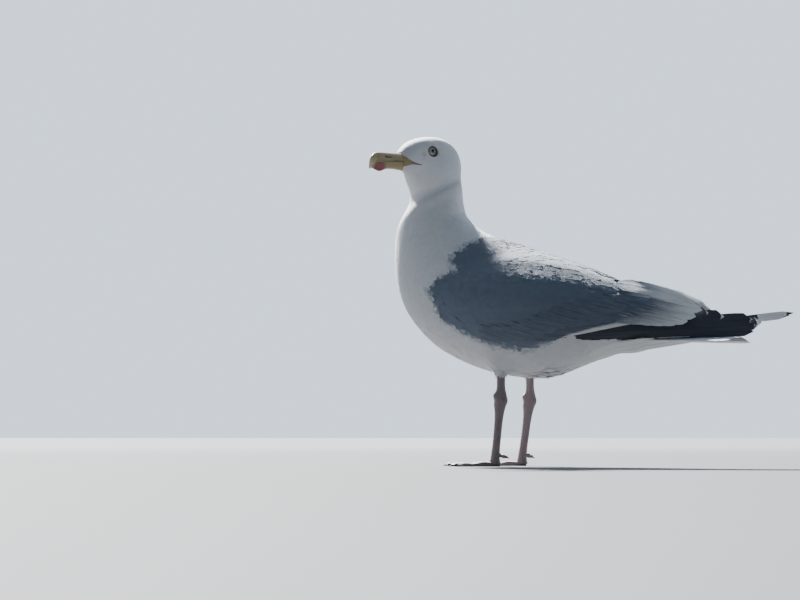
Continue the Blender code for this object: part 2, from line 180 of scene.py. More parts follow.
def meshObject(name, points, quads, tris=(), uv=None, attributes=None, sharpAngle=None, shading=None):
    # points in bird millimetres; uv has a pair for each corner, attributes a value for each point.
    # shading is the normal of each corner and, for each point, the number of the edge line that it
    # is on, with 3 where lines meet: two shadings part along such a line
    corners = faceCorners(quads, tris)
    sizes = np.repeat([4, 3], [len(quads), len(tris)])
    data = bpy.data.meshes.new(name)
    data.vertices.add(len(points))
    data.vertices.foreach_set("co", toFrame(points).astype(np.float32).ravel())
    data.loops.add(len(corners))
    data.loops.foreach_set("vertex_index", corners)
    data.polygons.add(len(sizes))
    data.polygons.foreach_set("loop_start", (np.cumsum(sizes) - sizes).astype(np.int32))
    data.polygons.foreach_set("use_smooth", np.ones(len(sizes), bool))
    data.update(calc_edges=True)
    data.validate()
    if uv is not None:
        data.uv_layers.new(name="OFBake").uv.foreach_set("vector", uv.astype(np.float32).ravel())
    for key, values in (attributes or {}).items():
        made = data.attributes.new(key, "FLOAT", "POINT")
        made.data.foreach_set("value", values.astype(np.float32).ravel())
    if shading is not None:
        normals, rims = shading
        made = data.attributes.new("custom_normal", "FLOAT_VECTOR", "CORNER")
        made.data.foreach_set("vector", normals.astype(np.float32).ravel())
        ends = np.zeros(2 * len(data.edges), np.int32)
        data.edges.foreach_get("vertices", ends)
        first, second = rims[ends.reshape(-1, 2)].T
        parted = (first > 0) & (second > 0) & ((first == second) | (first == 3) | (second == 3))
        data.attributes.new("sharp_edge", "BOOLEAN", "EDGE").data.foreach_set("value", parted)
    elif sharpAngle:
        data.set_sharp_from_angle(angle=np.radians(sharpAngle))
    piece = bpy.data.objects.new(name, data)
    bpy.context.scene.collection.objects.link(piece)
    return piece


def fit(piece, material, slot, *replaced):
    piece.data.materials.append(material)
    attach(piece, "root")
    if replaced:
        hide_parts(*replaced)


def tubeFaces(rings, around, first=0):
    # quads of a tube whose rings are in order, and fans to two centre points that follow them
    j = np.arange(around)
    nxt = (j + 1) % around
    base = first + np.arange(rings - 1)[:, None] * around
    quads = np.stack([base + j, base + nxt, base + nxt + around, base + j + around], axis=-1)
    last = first + (rings - 1) * around
    centre = np.full(around, last + around)
    start = np.stack([first + nxt, first + j, centre], axis=-1)
    end = np.stack([last + j, last + nxt, centre + 1], axis=-1)
    return quads.reshape(-1, 4), np.concatenate([start, end])


def capped(rings):
    # ring values in one run, then the mean of the first ring and of the last
    rings = np.asarray(rings, float)
    return np.concatenate([rings.reshape(-1, *rings.shape[2:]), [rings[0].mean(0)], [rings[-1].mean(0)]])


def tubePiece(name, rings, attributes=None):
    # one closed piece through rings of points (count, around, 3)
    count, around = rings.shape[:2]
    quads, tris = tubeFaces(count, around)
    run = np.concatenate([np.repeat(np.linspace(0, 1, count), around), [0.0, 1.0]])
    turn = np.concatenate([np.tile(np.arange(around) / around, count), [0.0, 0.0]])
    corners = faceCorners(quads, tris)
    uv = np.stack([run[corners], turn[corners]], axis=-1)
    mayWrap = np.concatenate([np.tile([False, True, True, False], len(quads)), np.zeros(tris.size, bool)])
    uv[:, 1] = np.where(mayWrap & (uv[:, 1] == 0), 1.0, uv[:, 1])
    values = {key: capped(np.reshape(field, (count, around))) for key, field in (attributes or {}).items()}
    return meshObject(name, capped(rings), quads, tris, uv, values)


def newMaterial(name, roughness, **sockets):
    material = bpy.data.materials.new(name)
    material.use_nodes = True
    shader = material.node_tree.nodes["Principled BSDF"]
    shader.inputs["Roughness"].default_value = roughness
    for key, value in sockets.items():
        shader.inputs[key.replace("_", " ")].default_value = value
    return material, material.node_tree


def addNode(tree, kind, inputs, output=0, **settings):
    # inputs are links, numbers, or colours without their alpha
    made = tree.nodes.new(kind)
    for key, value in settings.items():
        setattr(made, key, value)
    for key, value in inputs.items():
        socket = made.inputs[key]
        if isinstance(value, bpy.types.NodeSocket):
            tree.links.new(value, socket)
        else:
            socket.default_value = (*value, 1.0) if socket.type == "RGBA" else value
    return made.outputs[output]


def mixColour(tree, share, first, second, blend="MIX"):
    mix = {0: share, 6: first, 7: second}
    return addNode(tree, "ShaderNodeMix", mix, 2, data_type="RGBA", blend_type=blend)


def mathNode(tree, operation, first, second=0.0, clamp=False):
    return addNode(tree, "ShaderNodeMath", {0: first, 1: second}, operation=operation, use_clamp=clamp)


def attributeNode(tree, name):
    return addNode(tree, "ShaderNodeAttribute", {}, "Fac", attribute_name=name)


def noiseNode(tree, scale, detail, **inputs):
    return addNode(tree, "ShaderNodeTexNoise", {"Scale": scale, "Detail": detail, **inputs})


def spanNode(tree, value, start, end, low=0.0, high=1.0, ease="LINEAR"):
    # runs from low to high while the value runs from start to end
    span = {"Value": value, "From Min": start, "From Max": end, "To Min": low, "To Max": high}
    return addNode(tree, "ShaderNodeMapRange", span, interpolation_type=ease)


def toneColour(tree, colour, amount):
    # each feather a little lighter or darker than the next
    tone = mathNode(tree, "ADD", mathNode(tree, "MULTIPLY", attributeNode(tree, "tone"), amount), 0.97)
    grey = addNode(tree, "ShaderNodeCombineColor", {"Red": tone, "Green": tone, "Blue": tone})
    return mixColour(tree, 1.0, colour, grey, "MULTIPLY")


def dress(material, height=None, bump=(0.3, 0.0002), **sockets):
    # links the shader's sockets; bump is the strength of the relief and its depth in metres
    tree = material.node_tree
    if height is not None:
        relief = {"Height": height, "Strength": bump[0], "Distance": bump[1]}
        sockets["Normal"] = addNode(tree, "ShaderNodeBump", relief)
    for key, socket in sockets.items():
        tree.links.new(socket, tree.nodes["Principled BSDF"].inputs[key.replace("_", " ")])
    return material
# Camera, floor and light

cameraPlace = {
    "place": (0.88393, -1.86557, 0.030),  # metres in the frame, just above the floor
    "turn": 30.40,
    "tilt": 3.86,
    "lens": 91.53,
}
studio = {
    "skyColour": (0.74, 0.85, 1.0), "frontColour": (0.38, 0.65, 1.0),
    "skyBehind": 1.62, "skyInFront": 0.095,  # strength beyond the bird and on the near side
    "brightWay": (-0.45, 0.80, 0.40),
    "brightFade": (0.05, 0.82), "colourFade": (0.0, 0.6),  # from the near side to beyond the bird
    "floorNear": (0.062, 0.064, 0.067), "floorFar": (0.122, 0.131, 0.145),
    "floorFade": (0.5, 5.0), "floorHalf": 60.0, "floorGrain": 0.08,
    "keyFrom": (-0.567, 0.432, 0.70), "keyStrength": 30.0, "keySoftness": 8.0,
    "fillFrom": (0.9, -2.4, 1.2), "fillSize": 2.5, "fillPower": 1.0,
}
def addLight(name, kind, place, aim, energy):
    data = bpy.data.lights.new(name, kind)
    data.energy = energy
    light = bpy.data.objects.new(name, data)
    light.location = place
    light.rotation_euler = (Vector(aim) - Vector(place)).to_track_quat("-Z", "Y").to_euler()
    bpy.context.scene.collection.objects.link(light)
    return data


def setCamera():
    data = bpy.data.cameras.new("camera")
    data.lens = cameraPlace["lens"]
    camera = bpy.data.objects.new("camera", data)
    camera.location = cameraPlace["place"]
    camera.rotation_euler = (np.radians(90 + cameraPlace["tilt"]), 0, np.radians(cameraPlace["turn"]))
    bpy.context.scene.collection.objects.link(camera)
    bpy.context.scene.camera = camera


def setSky():
    # dim blue on the near side, bright and paler beyond the bird
    scene = bpy.context.scene
    world = scene.world or bpy.data.worlds.new("sky")
    scene.world = world
    world.use_nodes = True
    tree = world.node_tree
    background = tree.nodes["Background"]
    way = addNode(tree, "ShaderNodeTexCoord", {}, "Generated")
    facing = addNode(tree, "ShaderNodeVectorMath", {0: way, 1: studio["brightWay"]}, "Value",
                     operation="DOT_PRODUCT")
    glow = spanNode(tree, facing, *studio["brightFade"], studio["skyInFront"], studio["skyBehind"],
                    ease="SMOOTHSTEP")
    tree.links.new(glow, background.inputs["Strength"])
    beyond = spanNode(tree, facing, *studio["colourFade"])
    sky = mixColour(tree, beyond, studio["frontColour"], studio["skyColour"])
    tree.links.new(sky, background.inputs["Color"])


def setLights():
    key = addLight("key", "SUN", studio["keyFrom"], (0, 0, 0), studio["keyStrength"])
    key.angle = np.radians(studio["keySoftness"])
    middle = (cadBounds[0] + cadBounds[1]) / 2
    fill = addLight("fill", "AREA", studio["fillFrom"], middle, studio["fillPower"])
    fill.size = studio["fillSize"]


def makeFloor():
    half = studio["floorHalf"]
    plane = bpy.data.meshes.new("floor")
    square = [(-half, -half, 0), (half, -half, 0), (half, half, 0), (-half, half, 0)]
    plane.from_pydata(square, [], [(0, 1, 2, 3)])
    floor = bpy.data.objects.new("floor", plane)
    bpy.context.scene.collection.objects.link(floor)
    material, tree = newMaterial("paleFloor", 0.85)
    place = addNode(tree, "ShaderNodeTexCoord", {}, "Object")
    away = addNode(tree, "ShaderNodeVectorMath", {0: place}, "Value", operation="LENGTH")
    fade = spanNode(tree, away, *studio["floorFade"], ease="SMOOTHERSTEP")
    colour = mixColour(tree, fade, studio["floorNear"], studio["floorFar"])
    grain = mathNode(tree, "MULTIPLY", noiseNode(tree, 60.0, 4.0), studio["floorGrain"])
    colour = mixColour(tree, grain, colour, (0.0, 0.0, 0.0))
    plane.materials.append(dress(material, Base_Color=colour))
setCamera()
setSky()
setLights()
makeFloor()
print("studio set")


# Body surface: a grid of rings from the rump to the bill, drawn out to the wings and thighs

def bodySection(start, end, halfWidth, widest, place):
    start, end = np.array(start), np.array(end)
    angles = roundAngles(bodyShape["around"])
    along = np.cos(angles) + widest * np.sin(angles) ** 2
    side = halfWidth * np.sign(np.sin(angles)) * np.abs(np.sin(angles)) ** bodyShape["fullness"]
    profile = (start + end) / 2 + along[:, None] * (end - start) / 2
    return place(profile[:, 0], side, profile[:, 1])


def turned(points, yaw):
    middle, angle = points.mean(0), np.radians(yaw)
    turn = np.array([[np.cos(angle), np.sin(angle), 0], [-np.sin(angle), np.cos(angle), 0], [0, 0, 1]])
    return middle + (points - middle) @ turn


def blur(field, sizeAlong, sizeAround):
    # Gaussian smoothing of a grid, open along and closed around
    for axis, size in ((0, sizeAlong), (1, sizeAround)):
        reach = int(3 * size) + 1
        weights = np.exp(-0.5 * (np.arange(-reach, reach + 1) / size) ** 2)
        weights /= weights.sum()
        pad = [(0, 0)] * field.ndim
        pad[axis] = (reach, reach)
        padded = np.pad(field, pad, mode="edge" if axis == 0 else "wrap")
        count = field.shape[axis]
        field = sum(w * np.take(padded, np.arange(k, k + count), axis=axis) for k, w in enumerate(weights))
    return field


def nodeTree(names):
    points, faces, count = [], [], 0
    for name in names:
        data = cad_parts[name].data
        data.calc_loop_triangles()
        co = np.array([v.co for v in data.vertices]) / mm - bodyOrigin
        points.append(co)
        faces.append(np.array([t.vertices for t in data.loop_triangles]) + count)
        count += len(co)
    return BVHTree.FromPolygons([Vector(p) for p in np.concatenate(points)], np.concatenate(faces).tolist())


def inBody(x, y, z):
    return np.stack(np.broadcast_arrays(x, y, z), axis=-1)


def drawnOut(surface, outward):
    # how far the wings and thighs stand out from each point of the trunk's rings
    solids = nodeTree([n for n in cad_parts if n.startswith(("trunk", "wing_", "thigh_"))])
    reach = bodyShape["drawnFrom"]
    offset = np.zeros(surface.shape[:2])
    for k in range((len(bodyShape["trunk"]) - 1) * bodyShape["ringsPerSpan"]):
        for j in range(surface.shape[1]):
            start = Vector(surface[k, j] + outward[k, j] * reach)
            hit = solids.ray_cast(start, -Vector(outward[k, j]), reach + 4)[0]
            if hit:
                offset[k, j] = max(reach - (start - hit).length, 0)
    return offset


def makeBodyGrid():
    rings = [bodySection(*ring, inBody) for ring in bodyShape["trunk"]]
    rings += [turned(bodySection(*ring[:4], inBody), ring[4]) for ring in bodyShape["neck"]]
    rings += [bodySection(*ring, fromHead) for ring in bodyShape["head"]]
    surface = smoothRings(rings, bodyShape["ringsPerSpan"])
    outward = unit(surface - surface.mean(1, keepdims=True))
    number = (np.arange(len(surface)) / bodyShape["ringsPerSpan"])[:, None]
    offset = blur(drawnOut(surface, outward) * smoothStep(0, 2.2, number), 2.2, 1.6)
    angle = roundAngles(surface.shape[1])[None]
    for centre, turn, reach, width, height in bodyShape["fuller"].values():
        nearAlong = np.exp(-(((number - centre) / reach) ** 2))
        nearRound = np.exp((np.cos(angle - np.radians(turn)) - 1) / np.radians(width) ** 2)
        offset = offset + height * nearAlong * nearRound
    found = surface + outward * offset[..., None]
    start, end = bodyShape["join"]
    join = (smoothStep(*start, number) * (1 - smoothStep(*end, number)))[..., None]
    return found * (1 - join) + blur(found, *bodyShape["joinBlur"]) * join


bodyGrid = makeBodyGrid()
ringCount, aroundCount = bodyGrid.shape[:2]
ringNumber = np.arange(ringCount) / bodyShape["ringsPerSpan"]  # 0 at the rump, 21 at the bill
# A place on the grid is a pair of numbers: s counts its rings from the rump, a the points round a ring


def gridSlopes(grid):
    along = np.gradient(grid, axis=0)
    around = (np.roll(grid, -1, 1) - np.roll(grid, 1, 1)) / 2
    normal = unit(np.cross(along, around))
    outward = grid - grid.mean(1, keepdims=True)
    normal *= np.sign((normal * outward).sum(-1).mean())
    return along, around, normal


gridAlong, gridAround, gridNormal = gridSlopes(bodyGrid)
print("body grid", bodyGrid.shape)


# Eyes: where they sit in the head
eyeShape = {
    "forward": 18.0, "side": 12.4, "up": 3.8, "radius": 7.8,
    "opening": 4.35, "ring": 1.7, "lookForward": 11.0, "bulge": 0.45, "sunk": 0.45,
}
bareRound = eyeShape["opening"] + eyeShape["ring"]  # no feathers nearer to the eye's axis


def eyeFrame(side):
    # centre, the way the eye looks, the way to its front corner and up, all on the bird's axes
    axes = headAxes()
    centre = fromHead(eyeShape["forward"], side * eyeShape["side"], eyeShape["up"])
    turn = np.radians(eyeShape["lookForward"])
    look = axes[1] * side * np.cos(turn) + axes[0] * np.sin(turn)
    front = axes[0] * np.cos(turn) - axes[1] * side * np.sin(turn)
    return centre, look, front, axes[2]


def eyeDistance(points):
    # distance from the nearer eye's axis, and the way out from it
    best = np.full(points.shape[:-1], 1e3)
    away = np.zeros_like(points)
    for side in (-1, 1):
        centre, look = eyeFrame(side)[:2]
        rel = points - centre
        depth = rel @ look
        flat = rel - depth[..., None] * look
        far = np.linalg.norm(flat, axis=-1)
        nearer = (far < best) & (depth > 0)
        best = np.where(nearer, far, best)
        away = np.where(nearer[..., None], unit(flat), away)
    return best, away


# Small rises and hollows of the head under the feathers: (forward, up, size, height)
headFeatures = {
    "brow": (19.0, 10.5, 5.0, 0.9),
    "lore": (33.0, 0.0, 6.5, -1.3),
    "cheek": (8.0, -12.0, 11.0, 1.2),
    "chin": (36.0, -15.0, 6.0, -0.6),
}


def shapeHead(grid, normal):
    own = toHead(grid)
    inHead = smoothStep(13.5, 15.0, ringNumber)[:, None]
    change = np.zeros(grid.shape[:2])
    for forward, up, size, height in headFeatures.values():
        far = np.hypot(own[..., 0] - forward, own[..., 2] - up)
        sideways = smoothStep(2.0, 8.0, np.abs(own[..., 1]))
        change += height * np.exp(-((far / size) ** 2)) * sideways
    return grid + normal * (change * inHead)[..., None]


bodyGrid = shapeHead(bodyGrid, gridNormal)
gridAlong, gridAround, gridNormal = gridSlopes(bodyGrid)

# Markings: the outline of the grey of mantle and wing, seen from the side (x, z)
markings = {
    "greyOutline": (
        (-76, 262), (-79, 243), (-80, 239), (-91, 231), (-102, 222), (-105, 215), (-100, 208), (-94, 204),
        (-102, 201), (-113, 197), (-121, 191), (-129, 186), (-126, 181), (-121, 175), (-116, 162),
        (-110, 151), (-101, 145), (-87, 137), (-71, 130), (-54, 124), (-38, 119), (-21, 117), (-10, 118),
        (7, 123.5), (24, 130), (57, 137.5), (79, 142), (104, 146), (104, 160), (60, 230), (0, 262),
    ),
    "edgeWander": 1.2, "blend": 4.5,
    # where the black wingtip lies open below the wing
    "openWedge": (
        (6, 126.8), (12, 129.5), (30, 133.5), (57, 138.8), (79, 142.5), (104, 146), (130, 149), (130, 126.8),
    ),
    # dusky spot before the eye: forward, up, size, share of grey, and the first ring that has it
    "loreSpot": (29.6, 0.4, 1.9, 0.48, 15),
    "shows": 0.62,  # place on a feather, by share of its length, that gives it its colour
}


def insideOutline(outline, x, z):
    # signed distance to a closed outline, positive inside
    outline = np.array(outline, float)
    after = np.roll(outline, -1, 0)
    best = np.full(np.shape(x), 1e6)
    inside = np.zeros(np.shape(x), bool)
    for (x0, z0), (x1, z1) in zip(outline, after):
        dx, dz = x1 - x0, z1 - z0
        t = np.clip(((x - x0) * dx + (z - z0) * dz) / (dx * dx + dz * dz), 0, 1)
        best = np.minimum(best, np.hypot(x - x0 - t * dx, z - z0 - t * dz))
        crosses = (z0 > z) != (z1 > z)
        where = x0 + (z - z0) * dx / (dz if abs(dz) > 1e-9 else 1e-9)
        inside ^= crosses & (x < where)
    return np.where(inside, best, -best)


def greyShare(points, soft=1.2):
    distance = insideOutline(markings["greyOutline"], points[..., 0], points[..., 2])
    wander = np.sin(points[..., 0] * 0.61) * np.cos(points[..., 2] * 0.47 + points[..., 0] * 0.2)
    return smoothStep(-soft, soft, distance + markings["edgeWander"] * wander)


def between(field, i, j, closed):
    # values of a sheet between its points, closed round its second side or open
    row, column = np.floor(i).astype(int), np.floor(j).astype(int)
    f, g = i - row, j - column
    if field.ndim == 3:
        f, g = f[:, None], g[:, None]
    after = column + 1
    if closed:
        column, after = column % field.shape[1], after % field.shape[1]
    low = field[row, column] * (1 - g) + field[row, after] * g
    high = field[row + 1, column] * (1 - g) + field[row + 1, after] * g
    return low * (1 - f) + high * f


def sampleGrid(field, s, a):
    # values of a body grid at ring s and place a round it
    return between(field, np.clip(s, 0, ringCount - 1.001), a, True)


# Coat by ring number: rump 0, breast 9, neck 11 to 14, head 15 to 21
coatShape = {
    "ring": (0, 3, 7, 9, 11, 13, 15, 17, 19, 20.4, 21),
    "depth": (2.0, 3.2, 3.4, 3.2, 2.8, 2.3, 1.7, 1.4, 1.1, 0.7, 0.3),
    "length": (24, 22, 20, 17, 13, 10, 7.5, 5.6, 4.2, 3.0, 2.0),
    "halfWidth": (3.6, 3.6, 3.4, 2.8, 2.0, 1.5, 1.0, 0.72, 0.55, 0.42, 0.32),
    "spacing": (2.9, 2.9, 2.7, 2.2, 1.8, 1.5, 1.2, 1.0, 0.85, 0.75, 0.70),
    "depthAtEye": 0.28, "eyeFade": (3.0, 10.0), "lastRing": 20.93,
    "neckRing": 10.6, "headRing": 15.2, "bellyRing": 6.5,  # where neck and head start and the belly ends
    "spread": (0.85, 1.15), "swing": 0.09, "lift": 0.08,
    "liftRings": (0, 9, 15, 21), "liftShares": (1.0, 0.7, 0.4, 0.1),
    "ruffleLift": (0.2, 1.0), "ruffleSwing": 0.05,
}
skinShape = {
    "eyeSunk": 1.9, "eyeSunkFade": (3.5, 6.6),
    "white": ((0.70, 0.71, 0.72), (0.80, 0.81, 0.82)), "grey": ((0.11, 0.14, 0.18), (0.15, 0.18, 0.23)),
}
# Wing coverts and mantle lie in rows: row spacing, spacing in the row, length, half width
covertRows = {
    "along": 7.2, "across": 4.0, "length": 28.0, "halfWidth": 4.2, "jitter": 0.26, "lastRing": 10.8,
    "shoulder": (60, 128), "shorter": 0.38, "narrower": 0.12,  # forward places where they get smaller
    "spread": (0.9, 1.1), "swing": 0.035, "ruffleSwing": 0.04, "lift": 0.05, "ruffleLift": (0.05, 0.45),
    "paleShare": 0.10, "pale": 0.25, "mantleHalf": 22,
}
# Long scapulars with pale tips over the joint of back and wing
scapularRows = {
    "rings": (1.2, 6.6), "angles": (8, 50), "along": 13.0, "across": 3.7, "jitter": 0.3,
    "length": 46.0, "halfWidth": 3.1, "lengthSpread": (0.85, 1.1), "widthSpread": (0.85, 1.1),
    "raised": 0.1, "pale": 0.10, "swing": 0.045, "lift": (0.0, 0.35), "ruffleLift": (0.0, 0.3),
    # Many scapulars are darkened by this tone as painted shade, standing in for the shadowed gaps between
    # lifted scapulars.
    "tone": (-9.0, 1.5),  # many are darker than the rest
}
# Fine filaments that soften the white plumage
filaments = {
    "spacing": 1.75, "spacingRings": (0, 9, 12, 16, 21), "spacingShares": (1.15, 1.0, 0.85, 0.62, 0.45),
    "sizeRings": (0, 9, 12, 16, 19, 21), "sizeShares": (1.2, 1.0, 0.85, 0.62, 0.45, 0.28),
    "length": 7.5, "halfWidth": 0.42, "spread": (0.7, 1.3), "lastRing": 20.8, "bellyRing": 6.0,
    "whereRuffled": 0.5, "edgeBlend": 12.0, "nearEdge": 0.49, "eyeGap": 0.3,
    "swing": 0.13, "lift": 0.10, "ruffleLift": (0.1, 0.8), "ruffledGrey": 0.88,
}
# Places where the coat stands up: centre (x, y, z), reach, height
ruffles = {
    "shoulders": ((-60, 0, 238), 18, 4.2), "midBack": ((-24, 4, 226), 13, 2.2),
    "lowBack": ((46, 0, 197), 22, 0.9), "vent": ((-24, -10, 92), 10, 4.2),
    "behindLegs": ((-12, -6, 94), 12, 1.4),
}
def coatField(key):
    return np.interp(ringNumber, coatShape["ring"], coatShape[key])[:, None] * np.ones((1, aroundCount))


coatDepth = coatField("depth")
eyeFar = eyeDistance(bodyGrid)[0]
coatDepth = np.maximum(coatDepth * smoothStep(*coatShape["eyeFade"], eyeFar), coatShape["depthAtEye"])
greyGrid = greyShare(bodyGrid)


def makeSkin():
    inHead = ringNumber[:, None] > bodyShape["eyesFrom"]
    atEye = (1 - smoothStep(*skinShape["eyeSunkFade"], eyeFar)) * inHead
    sunk = coatDepth + skinShape["eyeSunk"] * atEye
    piece = tubePiece("skin", bodyGrid - gridNormal * sunk[..., None], {"grey": greyGrid})
    material, tree = newMaterial("gullSkin", 0.8)
    noise = noiseNode(tree, 350.0, 5.0)
    white, grey = (mixColour(tree, noise, *skinShape[key]) for key in ("white", "grey"))
    colour = mixColour(tree, attributeNode(tree, "grey"), white, grey)
    dress(material, noise, (0.4, 0.0006), Base_Color=colour)
    replaced = [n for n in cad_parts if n.startswith(("trunk", "neck", "head", "thigh_", "wing_"))]
    fit(piece, material, "white_feathers", *replaced)


makeSkin()
print("skin made")


# Feathers: closed vanes laid along the flow from the bill to the tail

def traceFlow(s, a, swing, length, stations):
    # points, ways and normals of feathers that start at grid places and run towards the tail
    s, a = s.astype(float).copy(), a.astype(float).copy()
    beyond = np.zeros((len(s), 3))
    found, last = [], 0.0
    for u in stations:
        parts = 2 if u > last else 1
        for _ in range(parts):
            along, around = sampleGrid(gridAlong, s, a), sampleGrid(gridAround, s, a)
            normal = unit(sampleGrid(gridNormal, s, a))
            ahead = -unit(along)
            aside = np.cross(normal, ahead)
            way = np.cos(swing)[:, None] * ahead + np.sin(swing)[:, None] * aside
            if u > last:
                step = length * (u - last) / parts
                g11, g12, g22 = (along**2).sum(1), (along * around).sum(1), (around**2).sum(1)
                b1, b2 = (along * way).sum(1), (around * way).sum(1)
                base = np.maximum(g11 * g22 - g12**2, 1e-6)
                s += (b1 * g22 - b2 * g12) / base * step
                a += (b2 * g11 - b1 * g12) / base * step
                past = np.maximum(-s, 0)
                beyond += way * (past * np.sqrt(g11))[:, None]
                s = np.maximum(s, 0)
        found.append((sampleGrid(bodyGrid, s, a) + beyond, way, normal, sampleGrid(coatDepth, s, a)))
        last = u
    return [np.stack(part, axis=1) for part in zip(*found)]


vaneShape = {
    "stations": (0.0, 0.32, 0.66, 0.90, 1.0),
    "width": (0.0, 0.74, 1.0, 0.78, 0.0),
    "rise": (0.12, 0.55, 0.86, 0.98, 1.0),  # share of the coat's depth
}
broadShape = {
    "stations": (0.0, 0.24, 0.50, 0.72, 0.87, 0.96, 1.0),
    "width": (0.0, 0.66, 0.96, 1.0, 0.86, 0.50, 0.0),
    "rise": (0.12, 0.36, 0.62, 0.84, 0.95, 1.0, 0.99),
}
vaneFinish = {
    "tilt": 0.30,  # how much of a feather's own tilt shows in its shading
    "eyeGap": 0.25, "thinnest": 0.07, "patch": 0.003,  # patch is a feather's own share of the pattern
    "white": ((0.74, 0.75, 0.76), (0.84, 0.85, 0.86)), "grey": ((0.122, 0.158, 0.212), (0.162, 0.20, 0.262)),
    "paleTip": (0.78, 0.79, 0.80), "toneAmount": 0.045, "barbs": 7.0, "barbBump": (0.18, 0.0002),
}


def vaneArrays(centres, ways, normals, widths, thickness):
    # triangular sections between a root point and a tip point
    aside = unit(np.cross(normals, ways))[:, 1:-1] * widths[:, 1:-1, None]
    half = normals[:, 1:-1] * thickness[:, None, None] * 0.5
    inner = centres[:, 1:-1]
    sections = np.stack([inner - aside - half, inner + half, inner + aside - half], axis=2)
    count, stations = sections.shape[:2]
    points = np.concatenate([centres[:, :1], sections.reshape(count, -1, 3), centres[:, -1:]], axis=1)
    each = points.shape[1]
    last = each - 4
    sides = ((0, 1), (1, 2), (2, 0))
    quads = [(1 + 3 * k + j, 4 + 3 * k + j, 4 + 3 * k + n, 1 + 3 * k + n)
             for k in range(stations - 1) for j, n in sides]
    tris = [tri for j, n in sides for tri in ((0, 1 + j, 1 + n), (last + n, last + j, each - 1))]
    start = np.arange(count)[:, None, None] * each
    return points, (np.array(quads) + start).reshape(-1, 4), (np.array(tris) + start).reshape(-1, 3)


def vaneMesh(name, stations, arrays, roots, length, halfWidth, fields, shading=None):
    # the mesh of many vanes: arrays are their points and faces, roots their places on the pattern,
    # and fields hold one value for each feather
    points, quads, tris = arrays
    inner = len(stations) - 2
    along = np.concatenate([[0.0], np.repeat(stations[1:-1], 3), [1.0]])[None]
    across = np.concatenate([[0.0], np.tile([-1.0, 0.0, 1.0], inner), [0.0]])[None]
    u = roots[0][:, None] + (along - 0.5) * vaneFinish["patch"]
    v = roots[1][:, None] + across * vaneFinish["patch"] / 2
    spread = np.ones((len(points), 1))
    values = {key: value[:, None] * np.ones_like(along) for key, value in fields.items()}
    values["along"] = along * spread
    values["across"] = across * spread
    values["barb"] = along * length[:, None] + np.abs(across) * halfWidth[:, None] * 0.8
    uv = np.stack([u.ravel(), v.ravel()], axis=-1)[faceCorners(quads, tris)]
    angle = None if shading else 60
    return meshObject(name, points.reshape(-1, 3), quads, tris, uv, values, angle, shading)


def layVanes(name, s, a, length, halfWidth, swing, lift, grey, pale, tone,
             crown=0.04, raised=0.0, rootRise=0.25, shape=vaneShape):
    stations = np.array(shape["stations"])
    centres, ways, normals, depth = traceFlow(s, a, swing, length, stations)
    rise = rootRise + (1 - rootRise) * np.array(shape["rise"])[None]
    height = depth * (rise - 1.0) + lift[:, None] * stations[None] ** 2 + raised * stations[None] ** 0.5
    centres = centres + normals * height[..., None]
    far, away = eyeDistance(centres)
    pushed = np.maximum(bareRound + vaneFinish["eyeGap"] - far, 0)
    pushed = pushed * (s[:, None] > bodyShape["eyesFrom"] * bodyShape["ringsPerSpan"])
    centres = centres + away * pushed[..., None]
    widths = halfWidth[:, None] * np.array(shape["width"])[None]
    thickness = vaneFinish["thinnest"] + halfWidth * crown
    points, quads, tris = vaneArrays(centres, ways, normals, widths, thickness)
    # feathers blend into one another, so they are shaded much as the body under them
    count, inner = len(points), len(stations) - 2
    slope = np.gradient(height, axis=1) / np.gradient(stations[None] * length[:, None], axis=1)
    flat = unit(normals - ways * (slope * vaneFinish["tilt"])[..., None])
    lean = (thickness / halfWidth * vaneFinish["tilt"])[:, None, None]
    aside = unit(np.cross(normals, ways))[:, 1:-1] * lean
    middle = flat[:, 1:-1]
    sections = np.stack([unit(middle - aside), middle, unit(middle + aside)], axis=2)
    shading = np.concatenate([flat[:, :1], sections.reshape(count, -1, 3), flat[:, -1:]], axis=1)
    under = np.concatenate([np.tile(np.repeat([1, 1, -1], 4), count * (inner - 1)),
                            np.tile(np.repeat([1, 1, -1], 6), count)])
    shading = shading.reshape(-1, 3)[faceCorners(quads, tris)] * under[:, None]
    rims = np.tile(np.concatenate([[3], np.tile([1, 0, 2], inner), [3]]), count)
    roots = (s / (ringCount - 1), (a % aroundCount) / aroundCount)
    fields = {"grey": grey, "pale": pale, "tone": tone}
    return vaneMesh(name, stations, (points, quads, tris), roots, length, halfWidth, fields, (shading, rims))


def scatterRoots(spacing, wanted):
    # places on the grid at least the local spacing apart, where wanted is true
    cellArea = np.linalg.norm(np.cross(gridAlong, gridAround), axis=-1)
    weight = np.where(wanted, cellArea / spacing**2, 0)[:-1]
    total = int(weight.sum() * 5)
    if total < 1:
        return np.zeros(0), np.zeros(0)
    cells = rng.choice(weight.size, total, p=weight.ravel() / weight.sum())
    s = cells // aroundCount + rng.random(total)
    a = cells % aroundCount + rng.random(total)
    places = sampleGrid(bodyGrid, s, a)
    reach = sampleGrid(spacing, s, a)
    tree = KDTree(total)
    for k, place in enumerate(places):
        tree.insert(place, k)
    tree.balance()
    alive = np.ones(total, bool)
    kept = []
    for k in range(total):
        if alive[k]:
            kept.append(k)
            for _, other, _ in tree.find_range(places[k], reach[k]):
                alive[other] = False
    return s[kept], a[kept]


